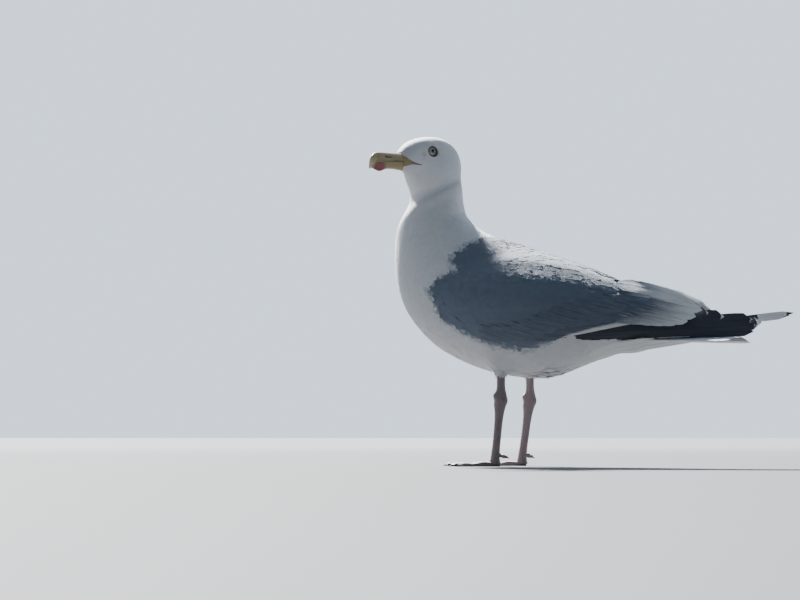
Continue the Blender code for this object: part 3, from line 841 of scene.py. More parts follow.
def featherMaterial():
    finish = vaneFinish
    material, tree = newMaterial("featherVane", 0.72, Sheen_Weight=0.25, Sheen_Roughness=0.5,
                                 Specular_IOR_Level=0.3)
    noise = noiseNode(tree, 90.0, 3.0)
    white, grey = (mixColour(tree, noise, *finish[key]) for key in ("white", "grey"))
    colour = mixColour(tree, attributeNode(tree, "grey"), white, grey)
    sides = mathNode(tree, "MULTIPLY", mathNode(tree, "ABSOLUTE", attributeNode(tree, "across")), 0.10)
    tipped = spanNode(tree, mathNode(tree, "ADD", attributeNode(tree, "along"), sides), 0.90, 1.02)
    pale = mathNode(tree, "MULTIPLY", attributeNode(tree, "pale"), tipped)
    colour = toneColour(tree, mixColour(tree, pale, colour, finish["paleTip"]), finish["toneAmount"])
    ridges = mathNode(tree, "SINE", mathNode(tree, "MULTIPLY", attributeNode(tree, "barb"), finish["barbs"]))
    return dress(material, ridges, finish["barbBump"], Base_Color=colour)


coatMaterial = featherMaterial()


def ruffleLift(places):
    lift = np.zeros(places.shape[:-1])
    for centre, reach, height in ruffles.values():
        far = np.linalg.norm(places - np.array(centre), axis=-1)
        lift += height * np.exp(-((far / reach) ** 2))
    return lift


def rowRoots(along, across, jitter, wanted):
    # staggered rows round the body, like tiles
    found = []
    middle = np.linalg.norm(gridAlong, axis=-1).mean(1)
    run = np.concatenate([[0], np.cumsum(middle[:-1])])
    rowAt = np.interp(np.arange(0, run[-1], along), run, np.arange(ringCount))
    for number, s in enumerate(rowAt):
        ring = sampleGrid(bodyGrid, np.full(aroundCount, s), np.arange(aroundCount).astype(float))
        steps = np.linalg.norm(np.roll(ring, -1, 0) - ring, axis=1)
        total = np.concatenate([[0], np.cumsum(steps)])
        count = max(int(total[-1] / across), 3)
        marks = (np.arange(count) + 0.5 * (number % 2)) / count * total[-1]
        a = np.interp(marks, total, np.arange(aroundCount + 1))
        found.append(np.stack([np.full(count, s), a], axis=-1))
    found = np.concatenate(found)
    found[:, 0] += rng.normal(0, jitter * along / middle.mean(), len(found))
    found[:, 1] += rng.normal(0, jitter * 1.2, len(found))
    found[:, 0] = np.clip(found[:, 0], 0, ringCount - 2)
    keep = sampleGrid(wanted.astype(float), found[:, 0], found[:, 1]) > 0.5
    return found[keep, 0], found[keep, 1]


def chosen(keep, *columns):
    return [column[keep] for column in columns]


def tipGrey(s, a, length):
    # the marking where most of a feather shows
    ahead = unit(sampleGrid(gridAlong, s, a)) * length[:, None]
    places = sampleGrid(bodyGrid, s, a)
    own = toHead(places - ahead * 0.6)
    forward, up, size, share, firstRing = markings["loreSpot"]
    dusky = share * np.exp(-(((own[:, 0] - forward) ** 2 + (own[:, 2] - up) ** 2) / size**2))
    dusky = dusky * (s > firstRing * bodyShape["ringsPerSpan"])
    return np.maximum(greyShare(places - ahead * markings["shows"], markings["blend"]), dusky)


def isOpen(s, a, length):
    # true where a feather would lie over the open wingtip
    ahead = unit(sampleGrid(gridAlong, s, a)) * length[:, None]
    covered = np.zeros(len(s), bool)
    for share in (0.5, 0.8, 1.0):
        places = sampleGrid(bodyGrid, s, a) - ahead * share
        covered |= insideOutline(markings["openWedge"], places[:, 0], places[:, 2]) > 0
    return covered


def layPieces(groups, columns, finish, **options):
    for name, wanted in groups.items():
        if wanted.any():
            fit(layVanes(name, *chosen(wanted, *columns), **options), coatMaterial, finish)
            print(name, wanted.sum(), "feathers")


def bodyParts(prefix, ring, bellyRing, low=True):
    # which feathers lie on the head, neck, breast and belly; low holds back some of the last two
    neckRing, headRing = coatShape["neckRing"], coatShape["headRing"]
    return {
        prefix + "_head": ring >= headRing,
        prefix + "_neck": (ring < headRing) & (ring >= neckRing),
        prefix + "_breast": (ring < neckRing) & (ring > bellyRing) & low,
        prefix + "_belly": (ring <= bellyRing) & low,
    }


def layWhiteCoat():
    coat = coatShape
    spacing = coatField("spacing") * thinned
    s, a = scatterRoots(spacing, (ringNumber[:, None] < coat["lastRing"]) & (eyeFar > bareRound))
    ring = s / bodyShape["ringsPerSpan"]
    length = np.interp(ring, coat["ring"], coat["length"]) * rng.uniform(*coat["spread"], len(s))
    grey = tipGrey(s, a, length)
    keep = (grey < 0.5) & ~isOpen(s, a, length)
    s, a, ring, length, grey = chosen(keep, s, a, ring, length, grey)
    count = len(s)
    rough = ruffleLift(sampleGrid(bodyGrid, s, a))
    halfWidth = np.interp(ring, coat["ring"], coat["halfWidth"]) * rng.uniform(*coat["spread"], count)
    swing = rng.normal(0, coat["swing"], count)
    lift = np.abs(rng.normal(0, coat["lift"], count)) * np.interp(ring, coat["liftRings"], coat["liftShares"])
    lift += rough * rng.uniform(*coat["ruffleLift"], count)
    swing += rng.normal(0, coat["ruffleSwing"], count) * np.minimum(rough, 4)
    columns = (s, a, length, halfWidth, swing, lift, grey, np.zeros(count), rng.uniform(-1, 1, count))
    layPieces(bodyParts("coat", ring, coat["bellyRing"]), columns, "white_feathers", rootRise=0.55)


def layFilaments():
    size = filaments

    def wantedDown(places, grey):
        # on white, near the edge of the grey, and where the coat is ruffled
        nearEdge = np.abs(greyShare(places, size["edgeBlend"]) - 0.5) < size["nearEdge"]
        return (grey < 0.5) | (ruffleLift(places) > size["whereRuffled"]) | nearEdge

    spacing = size["spacing"] * np.interp(ringNumber[:, None], size["spacingRings"], size["spacingShares"])
    spacing = spacing * np.ones((1, aroundCount)) * thinned
    wanted = (ringNumber[:, None] < size["lastRing"]) & (eyeFar > bareRound + size["eyeGap"])
    s, a = scatterRoots(spacing, wanted & wantedDown(bodyGrid, greyGrid))
    ring = s / bodyShape["ringsPerSpan"]
    scale = np.interp(ring, size["sizeRings"], size["sizeShares"])
    length = size["length"] * scale * rng.uniform(*size["spread"], len(s))
    grey = tipGrey(s, a, length)
    keep = wantedDown(sampleGrid(bodyGrid, s, a), grey) & ~isOpen(s, a, length)
    s, a, ring, scale, length, grey = chosen(keep, s, a, ring, scale, length, grey)
    count = len(s)
    rough = ruffleLift(sampleGrid(bodyGrid, s, a))
    lift = np.abs(rng.normal(0, size["lift"], count)) * scale
    lift += rough * rng.uniform(*size["ruffleLift"], count)
    fluffy = rough > size["whereRuffled"]
    halfWidth = size["halfWidth"] * scale * (1 + 0.5 * grey)
    columns = (s, a, length * (1 + grey * fluffy), halfWidth, rng.normal(0, size["swing"], count), lift,
               grey * np.where(fluffy, size["ruffledGrey"], 1.0), np.zeros(count), rng.uniform(-1, 1, count))
    layPieces(bodyParts("down", ring, size["bellyRing"], grey < 0.5), columns, "white_feathers",
              crown=0.15, rootRise=0.9)
    layPieces({"down_mantle": (grey > 0.5) & (ring < coatShape["neckRing"])}, columns, "grey_feathers",
              crown=0.15, rootRise=0.88)


def layCoverts():
    rows = covertRows
    wanted = (ringNumber[:, None] < rows["lastRing"]) & np.ones((1, aroundCount), bool)
    s, a = rowRoots(rows["along"], rows["across"], rows["jitter"], wanted)
    length = rows["length"] * rng.uniform(*rows["spread"], len(s))
    places = sampleGrid(bodyGrid, s, a)
    small = smoothStep(*rows["shoulder"], -places[:, 0])
    length = length * (1 - rows["shorter"] * small)
    grey = tipGrey(s, a, length)
    keep = (grey >= 0.5) & ~isOpen(s, a, length)
    s, a, length, places, small, grey = chosen(keep, s, a, length, places, small, grey)
    count = len(s)
    rough = ruffleLift(places)
    halfWidth = rows["halfWidth"] * (1 - rows["narrower"] * small) * rng.uniform(*rows["spread"], count)
    swing = rng.normal(0, rows["swing"], count) + rng.normal(0, rows["ruffleSwing"], count) * rough
    lift = np.abs(rng.normal(0, rows["lift"], count)) + rough * rng.uniform(*rows["ruffleLift"], count)
    pale = (rng.random(count) < rows["paleShare"] * np.minimum(rough, 2)).astype(float) * rows["pale"]
    columns = (s, a, length, halfWidth, swing, lift, grey, pale, rng.uniform(-1, 1, count))
    side, edge = places[:, 1], rows["mantleHalf"]
    layPieces({
        "coat_mantle": np.abs(side) < edge,
        "coat_wing_left": side <= -edge,
        "coat_wing_right": side >= edge,
    }, columns, "grey_feathers", crown=0.03, rootRise=0.72, shape=broadShape)


def layScapulars():
    rows = scapularRows
    angle = np.abs((np.arange(aroundCount) / aroundCount * 360 + 180) % 360 - 180)[None]
    (firstRing, lastRing), (low, high) = rows["rings"], rows["angles"]
    wanted = (ringNumber > firstRing) & (ringNumber < lastRing)
    wanted = wanted[:, None] & (angle > low) & (angle < high)
    s, a = rowRoots(rows["along"], rows["across"], rows["jitter"], wanted)
    count = len(s)
    places = sampleGrid(bodyGrid, s, a)
    length = rows["length"] * rng.uniform(*rows["lengthSpread"], count)
    halfWidth = rows["halfWidth"] * rng.uniform(*rows["widthSpread"], count)
    lift = rng.uniform(*rows["lift"], count) + ruffleLift(places) * rng.uniform(*rows["ruffleLift"], count)
    swing = rng.normal(0, rows["swing"], count)
    pale = rows["pale"] * rng.uniform(0, 2, count)
    # the darker tones of the scapulars are painted shade of the gaps between them
    columns = (s, a, length, halfWidth, swing, lift, np.ones(count), pale, rng.uniform(*rows["tone"], count))
    layPieces({"scapulars_left": places[:, 1] < 0, "scapulars_right": places[:, 1] >= 0},
              columns, "grey_feathers", crown=0.06, raised=rows["raised"], rootRise=0.5, shape=broadShape)


layWhiteCoat()
layCoverts()
layScapulars()
layFilaments()


# Flight feathers: broad blades laid on the sides of the folded wings and on the tail

wingLines = {
    "drapeX": (-150.0, 262.0), "drapeZ": (112.0, 232.0), "drapeStep": 1.6,
    # tips of the secondaries, front to back (x, z): the white trailing line under the coverts
    "secondaryTips": ((14, 127), (31, 131), (57, 135.5), (79, 139.5), (99, 143), (120, 146)),
    "secondaries": 14, "secondaryLength": 64.0, "secondaryHalf": 8.2,
    "secondaryWay": (-0.985, 0.10), "secondaryTurn": 0.009,  # from tip to root, and how each turns further
    "secondaryWhite": ((12, -3.0), (32, 1.2), (60, 3.4), (120, 4.0)),  # width of the white, by x
    # tips and roots of the tertials, the lowest first (x, z), their half width and white
    "tertialTips": (
        (126, 144.5), (140, 141.5), (152, 142.5), (161, 147.5), (166, 154), (157.5, 160.5), (143, 166),
    ),
    "tertialRoots": ((66, 152), (72, 160), (78, 168), (82, 175), (76, 184)),
    "tertials": 9, "tertialHalf": 6.6, "tertialWhite": (22.0, 40.0),
    # the innermost ones, which meet over the rump: back line (x, z), roots and tips (x, y)
    "innerLine": ((40, 195.0), (70, 188.5), (100, 181.0), (130, 172.5), (160, 161.5)), "innerCount": 9,
    "innerReach": (58.0, 152.0), "innerSpread": (8.0, 11.0), "innerHalf": 6.0,
    "innerFall": 0.015, "innerStep": 5.0,  # how they fall away to the side, and end sooner in the middle
    "greaterTips": ((-34, 131), (-8, 131), (20, 138), (57, 151), (85, 157), (104, 158)),
    "greaters": 13, "greaterLength": 40.0, "greaterHalf": 7.0, "greaterWay": (-0.96, 0.26),
}
class SideDrape:
    # how far out the side of the bird stands, as a smooth sheet over x and z

    def __init__(self, side, names, smooth):
        self.side = side
        step = wingLines["drapeStep"]
        self.x = np.arange(*wingLines["drapeX"], step)
        self.z = np.arange(*wingLines["drapeZ"], step)
        solids = nodeTree(names)
        out = np.full((len(self.x), len(self.z)), np.nan)
        for i, x in enumerate(self.x):
            for j, z in enumerate(self.z):
                hit = solids.ray_cast(Vector((x, side * 90.0, z)), Vector((0, -side, 0)), 90.0)[0]
                if hit:
                    out[i, j] = abs(hit.y)
        filled = np.isfinite(out).any(1)
        for i in np.nonzero(filled)[0]:
            known = np.isfinite(out[i])
            out[i] = np.interp(self.z, self.z[known], out[i][known])
        known = np.nonzero(filled)[0]
        for j in range(len(self.z)):
            out[:, j] = np.interp(np.arange(len(self.x)), known, out[known, j])
        reach = int(3 * smooth)
        self.out = blur(np.pad(out, ((0, 0), (reach, reach)), mode="edge"), smooth, smooth)[:, reach:-reach]

    def at(self, x, z):
        step = wingLines["drapeStep"]
        i = np.clip((x - self.x[0]) / step, 0, len(self.x) - 1.001)
        j = np.clip((z - self.z[0]) / step, 0, len(self.z) - 1.001)
        return between(self.out, i, j, False)

    def place(self, x, z, raised):
        # points on the sheet, lifted along its normal
        out, e = self.at(x, z), 1.5
        slopeX = (self.at(x + e, z) - self.at(x - e, z)) / (2 * e)
        slopeZ = (self.at(x, z + e) - self.at(x, z - e)) / (2 * e)
        slopeX, slopeZ = np.clip(slopeX, -1.2, 1.2), np.clip(slopeZ, -1.6, 1.6)
        long = np.sqrt(1 + slopeX**2 + slopeZ**2)
        return np.stack([
            x - slopeX / long * raised,
            self.side * (out + raised / long),
            z - slopeZ / long * raised,
        ], axis=-1)


def polyline(points, shares):
    # places along a run of points, by share of its length
    points = np.array(points, float)
    run = np.concatenate([[0], np.cumsum(np.linalg.norm(np.diff(points, axis=0), axis=1))])
    return np.stack([np.interp(shares * run[-1], run, points[:, k]) for k in range(points.shape[1])], axis=-1)


def gridTree(firstRing):
    # the outside of the coat, to seat pieces on
    first = firstRing * bodyShape["ringsPerSpan"]
    cells = tubeFaces(ringCount - first, aroundCount)[0]
    return BVHTree.FromPolygons([Vector(p) for p in bodyGrid[first:].reshape(-1, 3)], cells.tolist())


bladeShape = {
    "stations": 18, "columns": (-1.0, -0.72, -0.4, -0.1, 0.0, 0.1, 0.4, 0.72, 1.0),
    "thickness": 0.42, "shaft": 0.28, "endHalf": 0.25,
}
plainBlade = {
    "blunt": 0.80, "tipRound": 2.2, "ragged": 0.03, "camber": 0.9,  # outline and section
    "raised": 0.0, "lift": 0.0, "sunk": 0.0,  # height along the feather, at its tip and at its root
    "base": 0.0, "white": -9.0, "crescent": 0.75, "soft": 1.0,  # colour, and the white at the tip
    "trim": None, "border": None, "band": None,
}


def bladeOutline(feather, number, shares, columns, length):
    # points of one blade in its plan, and its half width at each station
    width = np.minimum(1, 0.30 + shares / 0.22) * feather["half"]
    tail = np.clip((shares - feather["blunt"]) / (1 - feather["blunt"]), 0, 1)
    width = width * np.sqrt(np.maximum(1 - tail ** feather["tipRound"], 0.0))
    width[-1] = bladeShape["endHalf"]
    ragged = 1 + feather["ragged"] * np.sin(shares * 37 + number * 2.1) * np.sin(shares * 61 + number)
    across = columns[None, :] * (width * ragged)[:, None]
    root, tip = np.array(feather["root"], float), np.array(feather["tip"], float)
    way = (tip - root) / length
    cross = np.array([-way[1], way[0]])
    plan = root + shares[:, None, None] * length * way + across[..., None] * cross
    if feather["trim"] is not None:
        # all end on one trailing line
        above = plan[..., 1] - np.interp(plan[..., 0], *feather["trim"].T)
        plan[..., 1] += np.where(above < 0, -above * 0.94, 0)
    return plan, width


def bladeFields(feather, shares, columns, plan, width, length):
    # what the finish needs at each point of the rings
    ringColumns = np.concatenate([columns, columns[1:-1][::-1]])
    around = len(ringColumns)
    along = np.repeat(shares * length, around)
    across = np.tile(ringColumns, len(shares))
    lateral = np.abs(across) * np.repeat(width, around) / feather["half"]
    blunt = feather["blunt"]
    outline = blunt + (1 - blunt) * np.maximum(1 - lateral**2, 0) ** (1 / feather["tipRound"])
    fromTip = length - along - feather["crescent"] * (1 - outline) * length
    tipEdge = feather["white"] - fromTip
    if feather["trim"] is not None:
        ringPlan = np.concatenate([plan, plan[:, 1:-1][:, ::-1]], axis=1).reshape(-1, 2)
        inside = ringPlan[:, 1] - np.interp(ringPlan[:, 0], *feather["trim"].T)
        tipEdge = np.interp(ringPlan[:, 0], *np.transpose(feather["border"])) - inside
    bandEdge = np.full(len(along), plainBlade["white"])
    if feather["band"]:
        near, far = feather["band"]
        bandEdge = np.minimum(length - along - near, far - length + along)
    return {
        "tipEdge": tipEdge / feather["soft"], "bandEdge": bandEdge, "acrossShare": across,
        "barb": along + np.abs(across) * feather["half"] * 0.7,
        "tone": np.full(len(along), rng.uniform(-1, 1)), "base": np.full(len(along), feather["base"]),
    }


def layBlades(name, feathers, surface, slot, *replaced):
    # feathers: dictionaries of root, tip, half and whatever differs from a plain blade
    shares = np.linspace(0, 1, bladeShape["stations"]) ** 0.8
    columns = np.array(bladeShape["columns"])
    ridge = bladeShape["shaft"] * np.exp(-((columns / 0.06) ** 2))
    u = np.concatenate([np.repeat(shares, 2 * len(columns) - 2), [0.0, 1.0]])
    ringV = np.concatenate([(columns + 1) / 4, 1 - (columns[1:-1][::-1] + 1) / 4])
    ringV = np.concatenate([np.tile(ringV, len(shares)), [0.5, 0.5]])
    points, quads, tris, uv, values = [], [], [], [], {}
    for number, feather in enumerate(feathers):
        feather = {**plainBlade, **feather}
        length = np.linalg.norm(np.subtract(feather["tip"], feather["root"]))
        plan, width = bladeOutline(feather, number, shares, columns, length)
        raised = feather["raised"] + feather["lift"] * shares**2
        raised = raised - feather["sunk"] * (1 - smoothStep(0, 0.45, shares))
        crown = feather["camber"] * (1 - columns**2)[None] * (width / feather["half"])[:, None]
        raised = raised[:, None] + crown
        top = surface(plan[..., 0], plan[..., 1], raised + ridge[None] * (1 - shares[:, None] * 0.7))
        under = surface(plan[..., 0], plan[..., 1], raised - bladeShape["thickness"])[:, 1:-1]
        ring = np.concatenate([top, under[:, ::-1]], axis=1)
        found = tubeFaces(*ring.shape[:2], number * len(u))
        quads.append(found[0])
        tris.append(found[1])
        points.append(capped(ring))
        for key, value in bladeFields(feather, shares, columns, plan, width, length).items():
            values.setdefault(key, []).append(capped(value.reshape(ring.shape[:2])))
        uv.append(np.stack([u, (number + 0.04 + 0.92 * ringV) * (1.0 / len(feathers))], axis=-1))
    quads, tris = np.concatenate(quads), np.concatenate(tris)
    uv = np.concatenate(uv)[faceCorners(quads, tris)]
    values = {key: np.concatenate(value) for key, value in values.items()}
    piece = meshObject(name, np.concatenate(points), quads, tris, uv, values, sharpAngle=50)
    fit(piece, flightMaterial, slot, *replaced)
flightFinish = {
    "black": ((0.050, 0.060, 0.078), (0.075, 0.082, 0.097)),  # fresh and worn
    "grey": ((0.112, 0.145, 0.192), (0.175, 0.205, 0.258)),
    "white": (0.88, 0.89, 0.90), "shaft": (0.10, 0.09, 0.085), "shaftShare": 0.22,
    "toneAmount": 0.06, "barbs": 8.0, "barbBump": (0.25, 0.00018),
}


def bladeMaterial():
    # base 0 is black, 0.5 grey and 1 white; white tips and bands lie over it
    finish = flightFinish
    material, tree = newMaterial("flightFeather", 0.72, Sheen_Weight=0.12, Sheen_Roughness=0.4,
                                 Specular_IOR_Level=0.15)
    noise = noiseNode(tree, 160.0, 4.0)
    base = attributeNode(tree, "base")
    lines = addNode(tree, "ShaderNodeCombineXYZ", {
        "X": mathNode(tree, "MULTIPLY", attributeNode(tree, "acrossShare"), 5.0),
        "Y": mathNode(tree, "MULTIPLY", attributeNode(tree, "barb"), 0.04),
        "Z": mathNode(tree, "MULTIPLY", attributeNode(tree, "tone"), 20.0),
    })
    streaks = noiseNode(tree, 1.6, 3.0, Vector=lines)
    worn = mixColour(tree, spanNode(tree, streaks, 0.35, 0.68), *finish["grey"])
    isGrey = mathNode(tree, "GREATER_THAN", base, 0.25)
    isWhite = mathNode(tree, "GREATER_THAN", base, 0.75)
    colour = mixColour(tree, isGrey, mixColour(tree, noise, *finish["black"]), worn)
    colour = mixColour(tree, isWhite, colour, finish["white"])
    for edge in ("tipEdge", "bandEdge"):
        wander = mathNode(tree, "ADD", attributeNode(tree, edge), mathNode(tree, "MULTIPLY", noise, 0.7))
        wander = mathNode(tree, "ADD", wander, mathNode(tree, "MULTIPLY", streaks, 0.6))
        colour = mixColour(tree, spanNode(tree, wander, 0.3, 1.1), colour, finish["white"])
    middle = mathNode(tree, "ABSOLUTE", attributeNode(tree, "acrossShare"))
    shaft = mathNode(tree, "MULTIPLY", mathNode(tree, "LESS_THAN", middle, 0.06), finish["shaftShare"])
    colour = mixColour(tree, shaft, colour, finish["shaft"], "MULTIPLY")
    colour = toneColour(tree, colour, finish["toneAmount"])
    ridges = mathNode(tree, "SINE", mathNode(tree, "MULTIPLY", attributeNode(tree, "barb"), finish["barbs"]))
    return dress(material, ridges, finish["barbBump"], Base_Color=colour)


flightMaterial = bladeMaterial()

primaries = {
    # tip of each primary, the outermost and deepest first (x, z), and its white tip
    "left": (
        ((216.5, 132.5), 1.0), ((218.5, 138.5), 1.2), ((215.0, 144.5), 1.6),
        ((200.0, 141.0), 5.0), ((187.0, 148.0), 2.8), ((172.0, 151.0), 2.4), ((158.0, 152.0), 2.0),
    ),
    "right": (
        ((254.5, 149.8), -9.0), ((250.0, 147.6), -9.0), ((222.0, 141.5), 5.0),
        ((210.0, 142.0), 3.2), ((198.0, 143.5), 3.4), ((184.0, 144.5), 3.4), ((168.0, 145.0), 3.0),
    ),
    # white bands on the outer two of the right wing: start and end, from the tip
    "mirror": {"left": {}, "right": {0: (7.0, 37.0), 1: (6.5, 36.0)}},
    "root": (26.0, 131.0), "rootStep": (-2.0, 2.6),
    "halfWidths": {"left": (4.8, 5.7, *[7.6] * 5), "right": (3.0, 3.4, *[7.6] * 5)},
    # the outer two stand higher; each further one starts deeper under the wing
    "step": 0.28, "drop": (0.7, 0.7, *[1.9] * 5), "sunkStep": 1.5,
}


def makePrimaries(sideName, drape):
    feathers = []
    for k, (tip, white) in enumerate(primaries[sideName]):
        feathers.append({
            "root": np.add(primaries["root"], np.multiply(primaries["rootStep"], k)), "tip": tip,
            "half": primaries["halfWidths"][sideName][k],
            "white": white, "band": primaries["mirror"][sideName].get(k), "crescent": 0.4,
            "raised": primaries["step"] * k - primaries["drop"][k],
            "sunk": primaries["sunkStep"] * max(k - 1, 0), "camber": 0.5,
            "blunt": 0.92, "tipRound": 2.0, "ragged": 0.02,
        })
    layBlades("primaries_" + sideName, feathers, drape.place, "black_feathers", "wingtip_" + sideName)


def makeWingBlades(sideName, drape):
    lines = wingLines
    feathers = []
    wayX, wayZ = lines["secondaryWay"]
    for k, tip in enumerate(polyline(lines["secondaryTips"], np.linspace(0, 1, lines["secondaries"]))):
        feathers.append({
            "root": tip + lines["secondaryLength"] * np.array([wayX, wayZ - lines["secondaryTurn"] * k]),
            "tip": tip + np.array([3.0, -1.0]), "half": lines["secondaryHalf"], "base": 0.5,
            "raised": 0.4 + 0.02 * k, "tipRound": 2.6, "sunk": 2.5, "camber": 0.3, "soft": 2.6,
            "trim": np.array(lines["secondaryTips"], float), "border": lines["secondaryWhite"],
        })
    layBlades("secondaries_" + sideName, feathers, drape.place, "grey_feathers")
    feathers = []
    shares = np.linspace(0, 1, lines["tertials"])
    tips, roots = polyline(lines["tertialTips"], shares), polyline(lines["tertialRoots"], shares)
    for k, share in enumerate(shares):
        feathers.append({
            "root": roots[k], "tip": tips[k], "half": lines["tertialHalf"], "base": 0.5,
            "raised": 1.5 + 0.28 * k, "lift": 0.5, "blunt": 0.70, "sunk": 2.6, "camber": 0.7,
            "white": np.interp(share, (0, 1), lines["tertialWhite"]), "soft": 54.0, "crescent": 0.5,
        })
    layBlades("tertials_" + sideName, feathers, drape.place, "grey_feathers")
    feathers = []
    for k, tip in enumerate(polyline(lines["greaterTips"], np.linspace(0, 1, lines["greaters"]))):
        feathers.append({
            "root": tip + lines["greaterLength"] * np.array(lines["greaterWay"]), "tip": tip,
            "half": lines["greaterHalf"], "base": 0.5,
            "raised": 0.8 + 0.05 * k, "lift": 0.2, "blunt": 0.74, "sunk": 3.0, "camber": 0.3,
        })
    layBlades("greater_coverts_" + sideName, feathers, drape.place, "grey_feathers")


def makeInnerTertials():
    # they lie over the rump, from one wing to the other
    lines = wingLines
    back = np.array(lines["innerLine"], float)

    def ridge(x, y, raised):
        fall = lines["innerFall"] * y**2
        return np.stack([x, y, np.interp(x, *back.T) - fall + raised], axis=-1)

    (rootX, tipX), (rootY, tipY) = lines["innerReach"], lines["innerSpread"]
    feathers = []
    places = np.linspace(-1, 1, lines["innerCount"])
    for place in places[np.argsort(-np.abs(places))]:
        feathers.append({
            "root": (rootX, place * rootY), "tip": (tipX - lines["innerStep"] * (1 - place**2), place * tipY),
            "half": lines["innerHalf"], "base": 0.5, "white": 7.0, "soft": 9.0, "crescent": 0.5,
            "raised": 1.2 * (1 - abs(place)) - 1.0, "blunt": 0.74, "sunk": 4.0, "camber": 0.8,
        })
    layBlades("inner_tertials", feathers, ridge, "grey_feathers")


tailShape = {
    "feathers": 12, "rootX": 100.0, "tipX": 203.0, "rootSpread": 13.0, "tipSpread": 28.0,
    "half": 6.6, "height": 126.8, "crown": 2.2, "sag": (2.0, 1.2),  # to the sides and to the end
    # long white coverts under the tail: rows of (root x, tip x), feathers in a row, spread
    "underRows": ((92, 158), (76, 140), (60, 122), (44, 104), (28, 88)), "inRow": 7, "underSpread": 15.0,
    "underHalf": 7.4, "underLine": ((60, 108.5), (80, 113.0), (100, 117.5), (150, 123.5), (170, 125.5)),
    "underRise": 16.0, "underWidth": 24.0,  # how the sides of the undertail turn up
    "wingEdge": 127.8,  # and stay under the edge of the black feathers
    "leavesBody": (62, 92),
}


def makeTail():
    tail = tailShape
    feathers = []
    places = np.linspace(-1, 1, tail["feathers"])
    for place in places[np.argsort(-np.abs(places))]:
        feathers.append({
            "root": (tail["rootX"], place * tail["rootSpread"]),
            "tip": (tail["tipX"] - 3.0 * place**2, place * tail["tipSpread"]),
            "half": tail["half"], "base": 1.0, "blunt": 0.88, "tipRound": 2.6,
            "raised": tail["crown"] * (1 - abs(place)),
        })

    def deck(x, y, raised):
        aside, behind = tail["sag"]
        sag = -aside * (y / 30.0) ** 2 - behind * smoothStep(110, 194, x)
        return np.stack([x, y, tail["height"] + sag + raised], axis=-1)

    layBlades("tail_feathers", feathers, deck, "white_feathers", "tail")


def makeUndertail():
    tail = tailShape
    feathers = []
    for row, (rootX, tipX) in enumerate(tail["underRows"]):
        for place in np.linspace(-1, 1, tail["inRow"] - row % 2):
            spread = place * tail["underSpread"]
            feathers.append({
                "root": (rootX, spread), "tip": (tipX + 5.0 * np.sin(row * 2.3 + place * 4), spread * 1.08),
                "half": tail["underHalf"], "base": 1.0, "blunt": 0.6, "tipRound": 2.0,
                "raised": 0.25 * row - 0.8, "ragged": 0.12, "sunk": 1.5, "camber": 0.4,
            })
    body = gridTree(0)

    def underside(x, y, raised):
        low = np.interp(x, *np.transpose(tail["underLine"]))
        room = np.maximum(tail["wingEdge"] - low, 0)
        rise = tail["underRise"] * (y / tail["underWidth"]) ** 2
        low = low + room * np.tanh(rise / np.maximum(room, 0.1))
        hits = [body.ray_cast(Vector((u, -v, 40.0)), Vector((0, 0, 1)), 120)[0]
                for u, v in zip(x.ravel(), y.ravel())]
        own = np.array([hit.z if hit else np.nan for hit in hits]).reshape(x.shape)
        share = np.where(np.isnan(own), 1.0, smoothStep(*tail["leavesBody"], x))
        return np.stack([x, -y, np.nan_to_num(own) * (1 - share) + low * share - raised], axis=-1)

    layBlades("undertail_coverts", feathers, underside, "white_feathers")


for sideName, side in bothSides:
    solids = ["trunk", "wing_" + sideName, "wingtip_" + sideName]
    makePrimaries(sideName, SideDrape(side, solids, 1.6))
    makeWingBlades(sideName, SideDrape(side, solids, 2.4))
makeInnerTertials()
makeTail()
makeUndertail()
print("flight feathers laid")
# Bill: two horn halves with a nostril, a gonys spot and a hooked tip

billShape = {
    "base": 48.6, "measureBase": 50.2, "tip": 97.8, "halfWidth": 6.9,
    "culmen": 2.3, "commissure": -6.4, "chin": -16.0, "gap": 0.42,
    "gonys": 83.0, "gonysDrop": 2.0, "hookStart": 0.56, "tipDip": 7.8, "lowerShort": 2.0,
    "nostril": (72.5, -3.0, 7.0, 1.15),  # place, height, half length, half height
    "nostrilDepth": 1.5, "shelfDepth": 0.45, "grooveDepth": 0.18,
    "spot": (84.5, -14.6, 7.6, 5.2),
    "stations": 72, "around": 48,
}
# The bill's darkest colour is painted shade, in the nostril hollow and along the line where the two halves
# part.
billFinish = {
    "horn": ((0.36, 0.28, 0.12), (0.45, 0.37, 0.19)), "streak": (0.36, 0.27, 0.14),
    # the pale tip is partly the bill's own paler end and partly a painted highlight where light catches the
    # tip
    "paleTip": (0.92, 0.86, 0.62), "spot": (0.31, 0.08, 0.08), "paintedShade": (0.05, 0.03, 0.02),
    "roughness": (0.28, 0.46), "bump": (0.25, 0.0003),
}


def billShare(place):
    return (place - billShape["measureBase"]) / (billShape["tip"] - billShape["measureBase"])


def billParting(place):
    t = billShare(place)
    return billShape["commissure"] - 2.0 * t - billShape["tipDip"] * np.maximum((t - 0.8) / 0.2, 0) ** 2


def billHalf(place):
    t = np.clip(billShare(place), 0, 1)
    return billShape["halfWidth"] * (1 - 0.42 * t - 0.50 * t**5)


